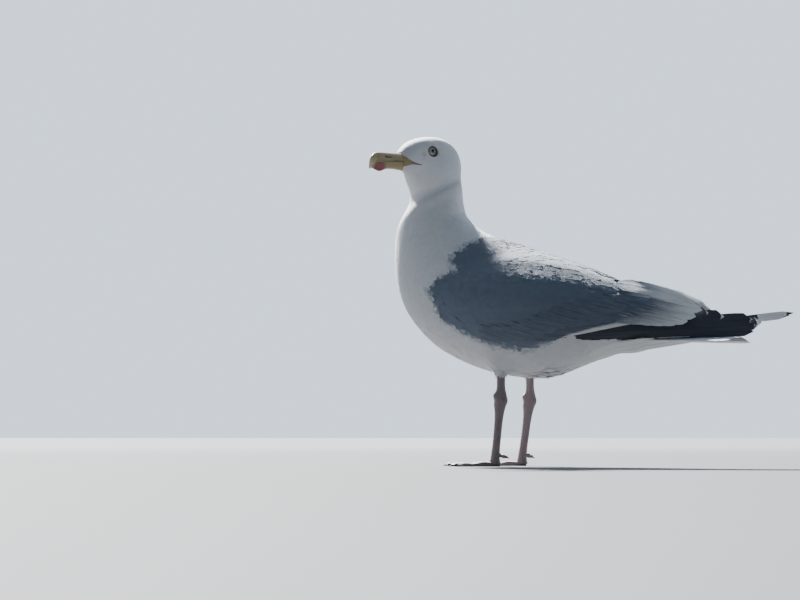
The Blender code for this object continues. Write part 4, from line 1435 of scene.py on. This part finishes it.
def billMaterial():
    finish = billFinish
    material, tree = newMaterial("billHorn", 0.42, Coat_Weight=0.05, Coat_Roughness=0.4)
    noise, streaks = noiseNode(tree, 220.0, 5.0), noiseNode(tree, 70.0, 3.0)
    colour = mixColour(tree, noise, *finish["horn"])
    colour = mixColour(tree, mathNode(tree, "MULTIPLY", streaks, 0.5), colour, finish["streak"])
    # pale tip: partly its own paler horn, partly a painted highlight
    colour = mixColour(tree, attributeNode(tree, "paleTip"), colour, finish["paleTip"])
    red = mathNode(tree, "ADD", attributeNode(tree, "spot"), mathNode(tree, "MULTIPLY", noise, 0.35))
    colour = mixColour(tree, spanNode(tree, red, 0.15, 0.75), colour, finish["spot"])
    # painted shade in the nostril hollow and along the parting
    colour = mixColour(tree, attributeNode(tree, "paintedShade"), colour, finish["paintedShade"])
    rough = spanNode(tree, noise, 0.0, 1.0, *finish["roughness"])
    relief = mathNode(tree, "ADD", noise, streaks)
    return dress(material, relief, finish["bump"], Base_Color=colour, Roughness=rough)


def billEllipse(spot, place, z, rise=0.0):
    # distance from the middle of an oval mark, 1 at its edge, squared
    x0, z0, lengthHalf, heightHalf = spot
    return ((place - x0) / lengthHalf) ** 2 + ((z - z0 - (place - x0) * rise) / heightHalf) ** 2


def upperBill(p, t, sine, cosine, tipRound):
    # sideways and upward places of the upper half, and the painted shade in its nostril hollow
    shape = billShape
    parting, width = billParting(p), billHalf(p)
    bend = np.clip((t - shape["hookStart"]) / (1 - shape["hookStart"]), 0, 1)
    drop = shape["culmen"] - billParting(shape["tip"]) - 0.3
    top = np.maximum(shape["culmen"] - drop * (1 - (1 - bend**3.0) ** 0.34), parting + 0.3)
    hollow = np.maximum(-sine, 0) * 0.5 * tipRound
    z = parting + np.maximum(sine, 0) ** 0.88 * (top - parting) + hollow
    x = width * cosine * (1 - 0.10 * np.maximum(sine, 0) ** 2)
    x = x * (0.35 + 0.65 * tipRound) * (1 + 1.2 * smoothStep(0.80, 0.97, t) * (1 - smoothStep(0.97, 1, t)))
    groove = np.exp(-(((z - parting) / (top - parting) - 0.16) / 0.07) ** 2) * shape["grooveDepth"]
    dent = np.exp(-billEllipse(shape["nostril"], p, z, 0.05) * 0.9)
    x0, z0 = shape["nostril"][:2]
    shelf = np.exp(-((p - x0) / 9) ** 2 - ((z - z0 + 0.4) / 2.4) ** 2) * shape["shelfDepth"]
    for sunk in (groove * smoothStep(0.05, 0.2, t), dent * shape["nostrilDepth"], shelf):
        x = x - np.sign(x) * sunk
    return x, z, parting, {"paintedShade": smoothStep(0.42, 0.75, dent), "spot": 0 * x}


def lowerBill(p, end, sine, cosine, tipRound):
    # the same for the lower half, with its red spot
    shape = billShape
    drop = shape["gonysDrop"] * np.exp(-(((p - shape["gonys"]) / 7.0) ** 2))
    run = np.clip((p - shape["measureBase"]) / (shape["gonys"] - shape["measureBase"]), 0, 1)
    rise = 1.4 * (np.maximum(p - shape["gonys"], 0) / (end - shape["gonys"])) ** 1.5
    parting = billParting(p) - shape["gap"]
    bottom = np.minimum(shape["chin"] + 0.9 * np.sin(np.pi * run) - drop + rise, parting - 0.8)
    z = parting - np.maximum(-sine, 0) ** 0.9 * (parting - bottom) * tipRound
    x = billHalf(p) * 0.95 * cosine * tipRound * (1 - 0.22 * np.maximum(-sine, 0) ** 2)
    spot = np.clip(1.35 - np.sqrt(billEllipse(shape["spot"], p, z)), 0, 1)
    return x, z, parting, {"paintedShade": 0 * x, "spot": spot}


def makeBill():
    shape = billShape
    material = billMaterial()
    share = np.linspace(0, 1, shape["stations"])[:, None]
    angle = roundAngles(shape["around"])[None]
    sine, cosine = np.sin(angle), np.cos(angle)
    tipRound = np.sqrt(np.maximum(1 - np.clip((share - 0.88) / 0.12, 0, 1) ** 2.2, 0.02))
    for half in ("upper", "lower"):
        end = shape["tip"] if half == "upper" else shape["tip"] - shape["lowerShort"]
        p = shape["base"] + (end - shape["base"]) * (1 - (1 - share) ** 1.35)
        t = np.clip(billShare(p), 0, 1)
        if half == "upper":
            x, z, parting, values = upperBill(p, t, sine, cosine, tipRound)
        else:
            x, z, parting, values = lowerBill(p, end, sine, cosine, tipRound)
        # painted shade along the line where the two halves part
        edge = np.exp(-((z - parting) / 0.30) ** 2) * 0.22 * smoothStep(0, 0.1, t)
        values["paintedShade"] = np.maximum(values["paintedShade"], edge)
        # the pale end, partly the bill's own colour and partly a painted highlight on the lit tip
        values["paleTip"] = smoothStep(0.84, 1.0, t) * 0.7 + 0 * x
        piece = tubePiece("bill_" + half + "_horn", fromHead(p, x, z), values)
        fit(piece, material, "bill_horn", "bill_" + half)


makeBill()
print("bill made")


# Gape: the fleshy corner of the mouth behind the bill, along the cheek

gapeShape = {
    # forward, up, half width, from the bill to the cheek
    "line": (
        (52.0, -6.8, 5.6), (48.5, -7.2, 4.4), (44.5, -8.0, 2.7),
        (40.0, -9.1, 1.4), (36.5, -9.9, 0.9), (32.0, -10.7, 0.3),
    ),
    "spans": 9, "around": 18, "thick": 0.42, "creaseDepth": 0.34, "proud": 0.12, "hornFrom": (40.0, 49.0),
    "flesh": ((0.30, 0.20, 0.20), (0.38, 0.26, 0.26)), "horn": ((0.33, 0.26, 0.12), (0.42, 0.33, 0.16)),
    # the dark crease colour is painted shade, laid in the sunken fold of the gape
    "crease": (0.09, 0.04, 0.045),
}
headTree = gridTree(13)  # the head, from the middle of the neck


def gapeMaterial():
    material, tree = newMaterial("gapeFlesh", 0.45)
    noise = noiseNode(tree, 500.0, 4.0)
    flesh, horn = (mixColour(tree, noise, *gapeShape[key]) for key in ("flesh", "horn"))
    colour = mixColour(tree, attributeNode(tree, "nearBill"), flesh, horn)
    # painted shade in the sunken crease
    colour = mixColour(tree, attributeNode(tree, "groove"), colour, gapeShape["crease"])
    return dress(material, noise, Base_Color=colour)


def makeGape():
    shape = gapeShape
    material = gapeMaterial()
    line = smoothRings(shape["line"], shape["spans"])
    right, up = headAxes()[1:]
    angle = roundAngles(shape["around"])
    outside = np.sin(angle) > 0
    for sideName, side in bothSides:
        rows = []
        for ahead, high, half in line:
            start = fromHead(ahead, side * 40.0, high)
            hit = headTree.ray_cast(Vector(start), Vector(-right * side), 60)[0]
            onBill = billHalf(max(ahead, billShape["measureBase"]))
            spot = np.array(hit) if hit else fromHead(ahead, side * onBill, high)
            crease = np.exp(-((np.cos(angle) * half / 0.25) ** 2)) * outside
            thick = np.sin(angle) * (shape["thick"] - shape["creaseDepth"] * crease) + shape["proud"]
            rows.append(spot + (np.cos(angle) * half)[:, None] * up + thick[:, None] * right * side)
        # the middle of the crease, which gets painted shade
        groove = np.exp(-((np.cos(angle) * line[:, 2:] / 0.34) ** 2)) * outside
        nearBill = smoothStep(*shape["hornFrom"], line[:, :1]) * np.ones_like(angle)
        piece = tubePiece("gape_" + sideName, np.stack(rows), {"groove": groove, "nearBill": nearBill})
        fit(piece, material, "bill_horn")


makeGape()
print("gape made")


# Eyes: a glossy ball with its iris, in a fleshy ring between two lids

eyeFinish = {
    "iris": ((0.26, 0.26, 0.205), (0.44, 0.44, 0.36)), "spokes": 74.0, "irisRim": (0.16, 0.13, 0.06),
    "rimFrom": (3.7, 4.5), "pupil": (0.004, 0.004, 0.005), "pupilEdge": (1.95, 2.15),
    "outside": (0.02, 0.015, 0.012), "irisHalf": 4.75,
    "lid": ((0.17, 0.15, 0.12), (0.11, 0.10, 0.085)), "lidRim": (0.03, 0.022, 0.02),
}


def eyeMaterial():
    finish = eyeFinish
    material, tree = newMaterial("gullEye", 0.12, Coat_Weight=1.0, Coat_Roughness=0.02, Coat_IOR=1.4)
    off = attributeNode(tree, "offAxis")
    turn = mathNode(tree, "MULTIPLY", attributeNode(tree, "turn"), finish["spokes"])
    fibres = noiseNode(tree, 900.0, 4.0)
    spokes = mathNode(tree, "MULTIPLY", mathNode(tree, "SINE", turn), 0.18)
    iris = mixColour(tree, mathNode(tree, "ADD", spokes, fibres, clamp=True), *finish["iris"])
    iris = mixColour(tree, spanNode(tree, off, *finish["rimFrom"]), iris, finish["irisRim"])
    pupil = spanNode(tree, off, *finish["pupilEdge"], 1.0, 0.0)
    colour = mixColour(tree, pupil, iris, finish["pupil"])
    outside = mathNode(tree, "GREATER_THAN", off, finish["irisHalf"])
    colour = mixColour(tree, outside, colour, finish["outside"])
    return dress(material, fibres, (0.05, 0.0001), Base_Color=colour)


def lidMaterial():
    material, tree = newMaterial("eyeRing", 0.5)
    cells = addNode(tree, "ShaderNodeTexVoronoi", {"Scale": 1500.0}, "Distance")
    flesh = mixColour(tree, cells, *eyeFinish["lid"])
    colour = mixColour(tree, attributeNode(tree, "rim"), flesh, eyeFinish["lidRim"])
    return dress(material, cells, (0.5, 0.0002), Base_Color=colour)


def polar(origin, frontAxis, upAxis, far, angle):
    # points at a distance and an angle from an axis
    return origin + (far * np.cos(angle))[..., None] * frontAxis + (far * np.sin(angle))[..., None] * upAxis


def makeEyeball(sideName, side, material):
    centre, look, front, up = eyeFrame(side)
    radius, sunk = eyeShape["radius"], eyeShape["sunk"]
    lean = np.linspace(0.03, np.pi * 0.62, 40)[:, None]
    turn = roundAngles(48)[None]
    off = radius * np.sin(lean)
    depth = radius * np.cos(lean) + eyeShape["bulge"] * np.exp(-((off / 3.9) ** 4)) * (lean < 1.4) - sunk
    rings = polar(centre + depth[..., None] * look, front, up, off, turn)
    offField = np.where(lean < 1.5, off, 9.0) + 0 * turn
    ball = tubePiece("eyeball_" + sideName, rings, {"offAxis": offField, "turn": np.sin(turn) * 3 + 0 * lean})
    fit(ball, material, "eye", "eye_" + sideName)


def makeEyeRing(sideName, side, material):
    # a rounded band from the ball out to the feathers, the upper lid a little flatter
    centre, look, front, up = eyeFrame(side)
    tube = roundAngles(16)[None]
    turn = roundAngles(64)[:, None]
    opening = eyeShape["opening"] * (1 - 0.12 * np.maximum(np.sin(turn), 0) ** 2)
    opening = opening * (1 + 0.06 * np.cos(turn) ** 2)
    band = eyeShape["ring"] * (1.0 + 0.2 * np.sin(turn) ** 2)
    across = (1 - np.cos(tube)) / 2
    reach = opening + band * across * (1 + 0.04 * np.sin(turn * 17))
    rim = polar(0, front, up, opening + band, turn)[:, 0]
    surface = [headTree.ray_cast(Vector(p), -Vector(look), 40)[0] for p in (centre + rim + look * 20)]
    outer = np.array([(np.array(p) - centre) @ look for p in surface])[:, None]
    inner = np.sqrt(eyeShape["radius"] ** 2 - opening**2) - eyeShape["sunk"]
    height = inner * (1 - across) + outer * across + 0.55 * np.sin(tube) + 0.15
    spots = polar(centre + height[..., None] * look, front, up, reach, turn)
    count, around = spots.shape[:2]
    # the band is a ring too, so its last row of quads leads back to the first
    quads = tubeFaces(count + 1, around)[0] % (count * around)
    rimDark = smoothStep(0.35, 0.9, np.cos(tube)) + 0 * turn
    lid = meshObject("eye_ring_" + sideName, spots.reshape(-1, 3), quads, attributes={"rim": rimDark})
    fit(lid, material, "eye")


ballFinish, lidFinish = eyeMaterial(), lidMaterial()
for sideName, side in bothSides:
    makeEyeball(sideName, side, ballFinish)
    makeEyeRing(sideName, side, lidFinish)
print("eyes set")


# Legs: scaled shanks with their ankles, webbed feet and dark claws

legShape = {
    "footX": {"left": -57.5, "right": -54.5}, "lean": {"left": 7.0, "right": 9.5},
    "side": 27.5, "ankleZ": 70.0, "thighZ": 98.0, "instepZ": 2.2, "leanFrom": 6.3,
    # height, half length, half width, from the instep to the thigh
    "profile": (
        (2.2, 6.6, 5.8), (5.0, 5.9, 5.1), (9.0, 5.1, 4.3), (14.0, 4.7, 3.8), (26.0, 4.2, 3.3),
        (44.0, 4.3, 3.3), (55.0, 5.0, 3.9), (61.0, 6.2, 4.6), (66.0, 7.1, 5.1), (70.0, 7.3, 5.2),
        (74.0, 6.4, 4.7), (80.0, 4.7, 3.9), (88.0, 4.4, 3.7), (98.0, 4.6, 3.9),
    ),
    "plate": 3.3, "plateDepth": 0.30, "scaleDepth": 0.10, "tendonDepth": 0.35,
    "around": 56, "stations": 190,
    # bumps of the ankle: height, how far it stands out, its half height, and where
    "ankle": ((73.0, 1.3, 2.8, "front"), (66.0, 0.9, 3.6, "back"), (67.0, -0.45, 2.2, "front")),
    "skin": ((0.32, 0.275, 0.29), (0.44, 0.39, 0.405)),
    "seam": (0.27, 0.17, 0.16), "groove": (0.17, 0.11, 0.105),
    "claw": ((0.018, 0.016, 0.015), (0.06, 0.05, 0.045)),
}
footShape = {
    "toeOut": 7.0, "heelBack": 6.5,
    "toes": ((-29.0, 44.0), (0.0, 51.0), (29.0, 40.0)),  # angle and length, from the inner toe
    "web": 0.9, "thinnest": 0.55, "scoop": 0.17, "scale": 2.3, "rows": 96, "perWeb": 40, "margin": 4.0,
    "clawLength": 7.0, "clawRadius": 1.75, "clawDrop": 1.5,
    "toeHalf": 2.9, "toeTaper": 0.7, "toeHeight": 5.4, "toeFall": 2.4, "toeJoints": 0.55,
    "hindToe": (4.2, 11.8, 9.4, 2.35),  # behind the shank, height, length, radius
    "hindClaw": (8.2, 9.6, 4.6, 1.1, 2.2),  # along the toe, height, length, radius, drop
}


def legMaterial():
    material, tree = newMaterial("legSkin", 0.5, Coat_Weight=0.08, Coat_Roughness=0.4)
    cells = addNode(tree, "ShaderNodeTexVoronoi", {"Scale": 620.0}, "Distance", feature="DISTANCE_TO_EDGE")
    noise = noiseNode(tree, 130.0, 5.0)
    seams = spanNode(tree, cells, 0.0, 0.16)
    colour = mixColour(tree, seams, legShape["seam"], mixColour(tree, noise, *legShape["skin"]))
    colour = mixColour(tree, attributeNode(tree, "groove"), colour, legShape["groove"])
    fine = mathNode(tree, "ADD", seams, mathNode(tree, "MULTIPLY", noise, 0.5))
    return dress(material, fine, (0.45, 0.0003), Base_Color=colour)


def clawMaterial():
    material, tree = newMaterial("clawHorn", 0.32)
    streaks = noiseNode(tree, 400.0, 4.0)
    return dress(material, streaks, (0.2, 0.0002), Base_Color=mixColour(tree, streaks, *legShape["claw"]))


def plateSeams(run, step, width):
    # place within each plate from 0 to 1, and the seams between plates
    place = (run / step) % 1.0
    return place, np.exp(-((np.minimum(place, 1 - place) / width) ** 2))


def makeLeg(sideName, side, material):
    shape = legShape
    z = np.linspace(shape["instepZ"], shape["thighZ"], shape["stations"])[:, None]
    table = smoothRings(shape["profile"], 8)
    halfLong, halfWide = (np.interp(z, table[:, 0], table[:, k]) for k in (1, 2))
    rise = np.clip((z - shape["leanFrom"]) / (shape["ankleZ"] - shape["leanFrom"]), 0, 1)
    x = shape["footX"][sideName] + shape["lean"][sideName] * rise + 0.5 * smoothStep(72, 80, z)
    angle = roundAngles(shape["around"])[None]
    tailward, aside = np.cos(angle), np.sin(angle)
    faces = {"front": smoothStep(0.15, 0.75, -tailward), "back": smoothStep(0.25, 0.8, tailward)}
    front = faces["front"]
    # large plates in front, small scales behind, a tendon along the back
    place, seam = plateSeams(z + 0.10 * shape["plate"] * np.cos(angle * 2), shape["plate"], 0.09)
    calm = smoothStep(5.0, 12.0, z) * (1 - 0.5 * np.exp(-((z - 69) / 7) ** 2))
    swell = (shape["plateDepth"] * (0.5 - place) * front - shape["plateDepth"] * seam * front) * calm
    small = np.sin(z * 2 * np.pi / 1.7) * np.sin(angle * 13 + z * 0.9)
    swell = swell + small * shape["scaleDepth"] * (1 - front)
    tendon = shape["tendonDepth"] * np.exp(-((angle - np.pi * 0.12) / 0.30) ** 2)
    swell = swell + tendon * smoothStep(12, 30, z) * (1 - smoothStep(56, 64, z))
    for height, out, half, where in shape["ankle"]:
        swell = swell + out * faces[where] * np.exp(-((z - height) / half) ** 2)
    rings = np.stack(np.broadcast_arrays(
        x + (halfLong + swell) * tailward,
        side * shape["side"] + (halfWide + swell) * aside,
        z,
    ), axis=-1)
    piece = tubePiece("shank_" + sideName, rings, {"groove": np.clip(seam * front * calm, 0, 1) * 0.8})
    fit(piece, material, "leg_skin", "tibia_" + sideName, "tarsus_" + sideName)


thighTuft = {
    "topZ": 116.0, "hemZ": 93.0, "topReach": 12.5, "hemReach": 5.2, "hang": 5.5,
    "rows": 15, "each": 22, "length": 11.0, "halfWidth": 1.25, "shorter": 0.35, "narrower": 0.3,
}


def layThighTuft(sideName, side):
    # small white feathers that hang down the thigh to the bare shank
    tuft = thighTuft
    stations = np.array(vaneShape["stations"])
    share, angle = [], []
    for row in range(tuft["rows"]):
        for k in range(tuft["each"]):
            share.append(row / (tuft["rows"] - 1))
            angle.append((k + 0.5 * (row % 2)) * 2 * np.pi / tuft["each"] + rng.normal(0, 0.08))
    share, angle = np.array(share)[:, None], np.array(angle)[:, None]
    count = len(share)
    length = tuft["length"] * rng.uniform(0.8, 1.2, share.shape) * (1 - tuft["shorter"] * share)
    z = tuft["topZ"] + (tuft["hemZ"] + tuft["hang"] - tuft["topZ"]) * share - length * stations[None]
    fall = np.clip((tuft["topZ"] - z) / (tuft["topZ"] - tuft["hemZ"]), 0, 1.15)
    reach = tuft["topReach"] + (tuft["hemReach"] - tuft["topReach"]) * fall**0.75
    reach = reach + 0.9 * stations[None] - 0.4 + rng.uniform(-0.2, 0.3, share.shape) * stations[None] ** 2
    turn = angle + rng.normal(0, 0.05, share.shape) * stations[None]
    x = legShape["footX"][sideName] + legShape["lean"][sideName] + 0.5 + reach * np.cos(turn) * 1.12
    y = side * legShape["side"] + reach * np.sin(turn) * 0.95
    centres = np.stack([x, y, z], axis=-1)
    ways = unit(np.gradient(centres, axis=1))
    outward = np.stack([np.cos(turn), np.sin(turn), 0 * turn], axis=-1)
    widths = tuft["halfWidth"] * (1 - tuft["narrower"] * share) * np.array(vaneShape["width"])[None]
    arrays = vaneArrays(centres, ways, outward, widths, np.full(count, 0.25))
    roots = (share[:, 0] * 0.9 + 0.05, angle[:, 0] % (2 * np.pi) / (2 * np.pi) * 0.9 + 0.05)
    fields = {"grey": np.zeros(count), "pale": np.zeros(count), "tone": rng.uniform(-1, 1, count)}
    piece = vaneMesh("coat_thigh_" + sideName, stations, arrays, roots, np.full(count, 10.0),
                     np.full(count, tuft["halfWidth"]), fields)
    fit(piece, coatMaterial, "white_feathers")


def footAxes(sideName, side):
    angle = np.radians(footShape["toeOut"])
    forward = np.array([-np.cos(angle), side * np.sin(angle)])
    outward = np.array([np.sin(angle), side * np.cos(angle)])
    heel = np.array([legShape["footX"][sideName], side * legShape["side"]]) - forward * footShape["heelBack"]
    return heel, forward, outward


def toeRelief(along, across, total):
    # height of one toe over the web, with its joints and plates, and where its seams show
    shape = footShape
    slender = shape["toeHalf"] - shape["toeTaper"] * along / total
    joints = shape["toeJoints"] * np.cos(along / total * 5 * np.pi)
    back = shape["toeHeight"] - shape["toeFall"] * along / total + joints
    place, seam = plateSeams(along, shape["scale"], 0.12)
    seam = seam * smoothStep(7, 12, along)
    height = (back - 0.24 * seam + 0.16 * (0.5 - place)) * np.exp(-np.abs(across / slender) ** 2.6)
    return height, seam * (np.abs(across) < slender * 0.75) * 0.7


def sheetFaces(rows, count):
    # a closed flat form: an upper sheet of points, a lower one after it, and the wall between
    i, j = np.arange(rows - 1)[:, None], np.arange(count - 1)[None]
    base = i * count + j
    upper = np.stack([base, base + count, base + count + 1, base + 1], axis=-1).reshape(-1, 4)
    lower = upper[:, ::-1] + rows * count
    rim = np.concatenate([
        np.arange(count), np.arange(1, rows) * count + count - 1,
        (rows - 1) * count + np.arange(count - 2, -1, -1), np.arange(rows - 2, 0, -1) * count,
    ])
    after = np.roll(rim, -1)
    wall = np.stack([rim, after, after + rows * count, rim + rows * count], axis=-1)
    return np.concatenate([upper, lower, wall])


def makeFoot(sideName, side, material):
    # a closed sheet in polar rows from the heel: toes, web and pads above, flat below
    shape = footShape
    heel, forward, outward = footAxes(sideName, side)
    toes, margin = shape["toes"], shape["margin"]
    first, last = toes[0][0], toes[2][0]
    angles = np.concatenate([
        np.linspace(first - margin, first, 7)[:-1],
        np.linspace(first, last, 2 * shape["perWeb"] + 1),
        np.linspace(last, last + margin, 7)[1:],
    ])
    place = np.interp(angles, [first, 0, last], [0, 1, 2])
    reach = shape["heelBack"] + np.interp(place, [0, 1, 2], [toe[1] for toe in toes])
    reach = reach * (1 - shape["scoop"] * np.abs(np.sin(np.pi * (place % 1))) ** 0.8)
    outside = np.maximum(np.maximum(first - angles, angles - last), 0) / margin
    reach = reach * (1 - 0.03 * outside**2)
    share = np.linspace(0.02, 1, shape["rows"])[:, None]
    radius = share * reach[None]
    way = np.radians(angles)[None]
    height = shape["web"] + 0.14 * np.sin(radius * 0.9) * np.sin(way * 40)
    height = np.maximum(height + 0.10 * np.sin(radius * 2.1 + way * 9), shape["thinnest"])
    groove = np.zeros(radius.shape)
    for toeAngle, length in toes:
        off = way - np.radians(toeAngle)
        toe, seam = toeRelief(radius * np.cos(off), radius * np.sin(off), length + shape["heelBack"])
        height, groove = np.maximum(height, toe), np.maximum(groove, seam)
    rounding = np.sqrt(np.maximum(1 - np.clip((share - 0.975) / 0.025, 0, 1) ** 2, 0.03))
    height = 0.3 + (height - 0.3) * rounding
    flat = heel + radius[..., None] * (np.cos(way)[..., None] * forward + np.sin(way)[..., None] * outward)
    top = np.concatenate([flat, height[..., None]], axis=-1)
    sole = np.concatenate([flat, np.zeros(flat.shape[:2] + (1,))], axis=-1)
    quads = sheetFaces(*radius.shape)
    if side < 0:
        quads = quads[:, ::-1]
    points = np.concatenate([top.reshape(-1, 3), sole.reshape(-1, 3)])
    field = np.concatenate([groove.ravel(), np.zeros(radius.size)])
    piece = meshObject("foot_webbed_" + sideName, points, quads, attributes={"groove": field}, sharpAngle=70)
    fit(piece, material, "leg_skin", "foot_" + sideName)


def hornRings(root, way, length, radius, drop, stations=16, around=20):
    # rings of a claw: upright oval sections that bend down to a point
    way = unit(np.append(way, 0.0))
    across = np.array([-way[1], way[0], 0.0])
    t = np.linspace(0, 1, stations)[:, None]
    angle = roundAngles(around)[None]
    size = radius * (1 - 0.93 * t**1.2)
    centre = np.array(root) + way * length * t[..., None] - np.array([0, 0, drop]) * t[..., None] ** 2
    rings = centre + (np.cos(angle) * size * 0.75)[..., None] * across
    rings = rings + (np.sin(angle) * size)[..., None] * np.array([0, 0, 1.0])
    rings[..., 2] = np.maximum(rings[..., 2], 0.08)
    return rings


def makeClaws(sideName, side, material):
    shape = footShape
    heel, forward, outward = footAxes(sideName, side)
    for number, (angle, length) in enumerate(shape["toes"], 1):
        way = np.cos(np.radians(angle)) * forward + np.sin(np.radians(angle)) * outward
        spot = np.append(heel + way * (shape["heelBack"] + length - 2.2), 1.95)
        rings = hornRings(spot, way, shape["clawLength"] + 2.0, shape["clawRadius"], shape["clawDrop"])
        claw = tubePiece(f"claw_horn_{sideName}_{number}", rings)
        fit(claw, material, "claw_horn", f"claw_{sideName}_{number}")


def makeHindToe(sideName, side, skin, horn):
    behind, high, length, radius = footShape["hindToe"]
    x0, y0 = legShape["footX"][sideName] + behind, side * (legShape["side"] - 1.5)
    t = np.linspace(0, 1, 22)[:, None]
    angle = roundAngles(24)[None]
    size = radius * np.sqrt(np.maximum(1 - np.maximum((t - 0.72) / 0.28, 0) ** 2 * 0.8, 0))
    size = size * (0.9 + 0.1 * np.cos(t * 12)) + 0.08 * np.sin(t * 50)
    x = x0 + length * t + np.sin(angle) * size * 0.25
    y = y0 + np.cos(angle) * size
    z = high - 2.0 * t + np.sin(angle) * size * 0.97
    toe = tubePiece("hind_toe_scaled_" + sideName, np.stack([x, y, z], axis=-1), {"groove": 0 * x})
    fit(toe, skin, "leg_skin", "hind_toe_" + sideName)
    ahead, high, *sizes = footShape["hindClaw"]
    rings = hornRings((x0 + ahead, y0, high), (1.0, 0.0), *sizes, 10, 14)
    fit(tubePiece("hind_claw_" + sideName, rings), horn, "claw_horn")


legFinish, clawFinish = legMaterial(), clawMaterial()
for sideName, side in bothSides:
    makeLeg(sideName, side, legFinish)
    layThighTuft(sideName, side)
    makeFoot(sideName, side, legFinish)
    makeClaws(sideName, side, clawFinish)
    makeHindToe(sideName, side, legFinish, clawFinish)
print("legs and feet made")


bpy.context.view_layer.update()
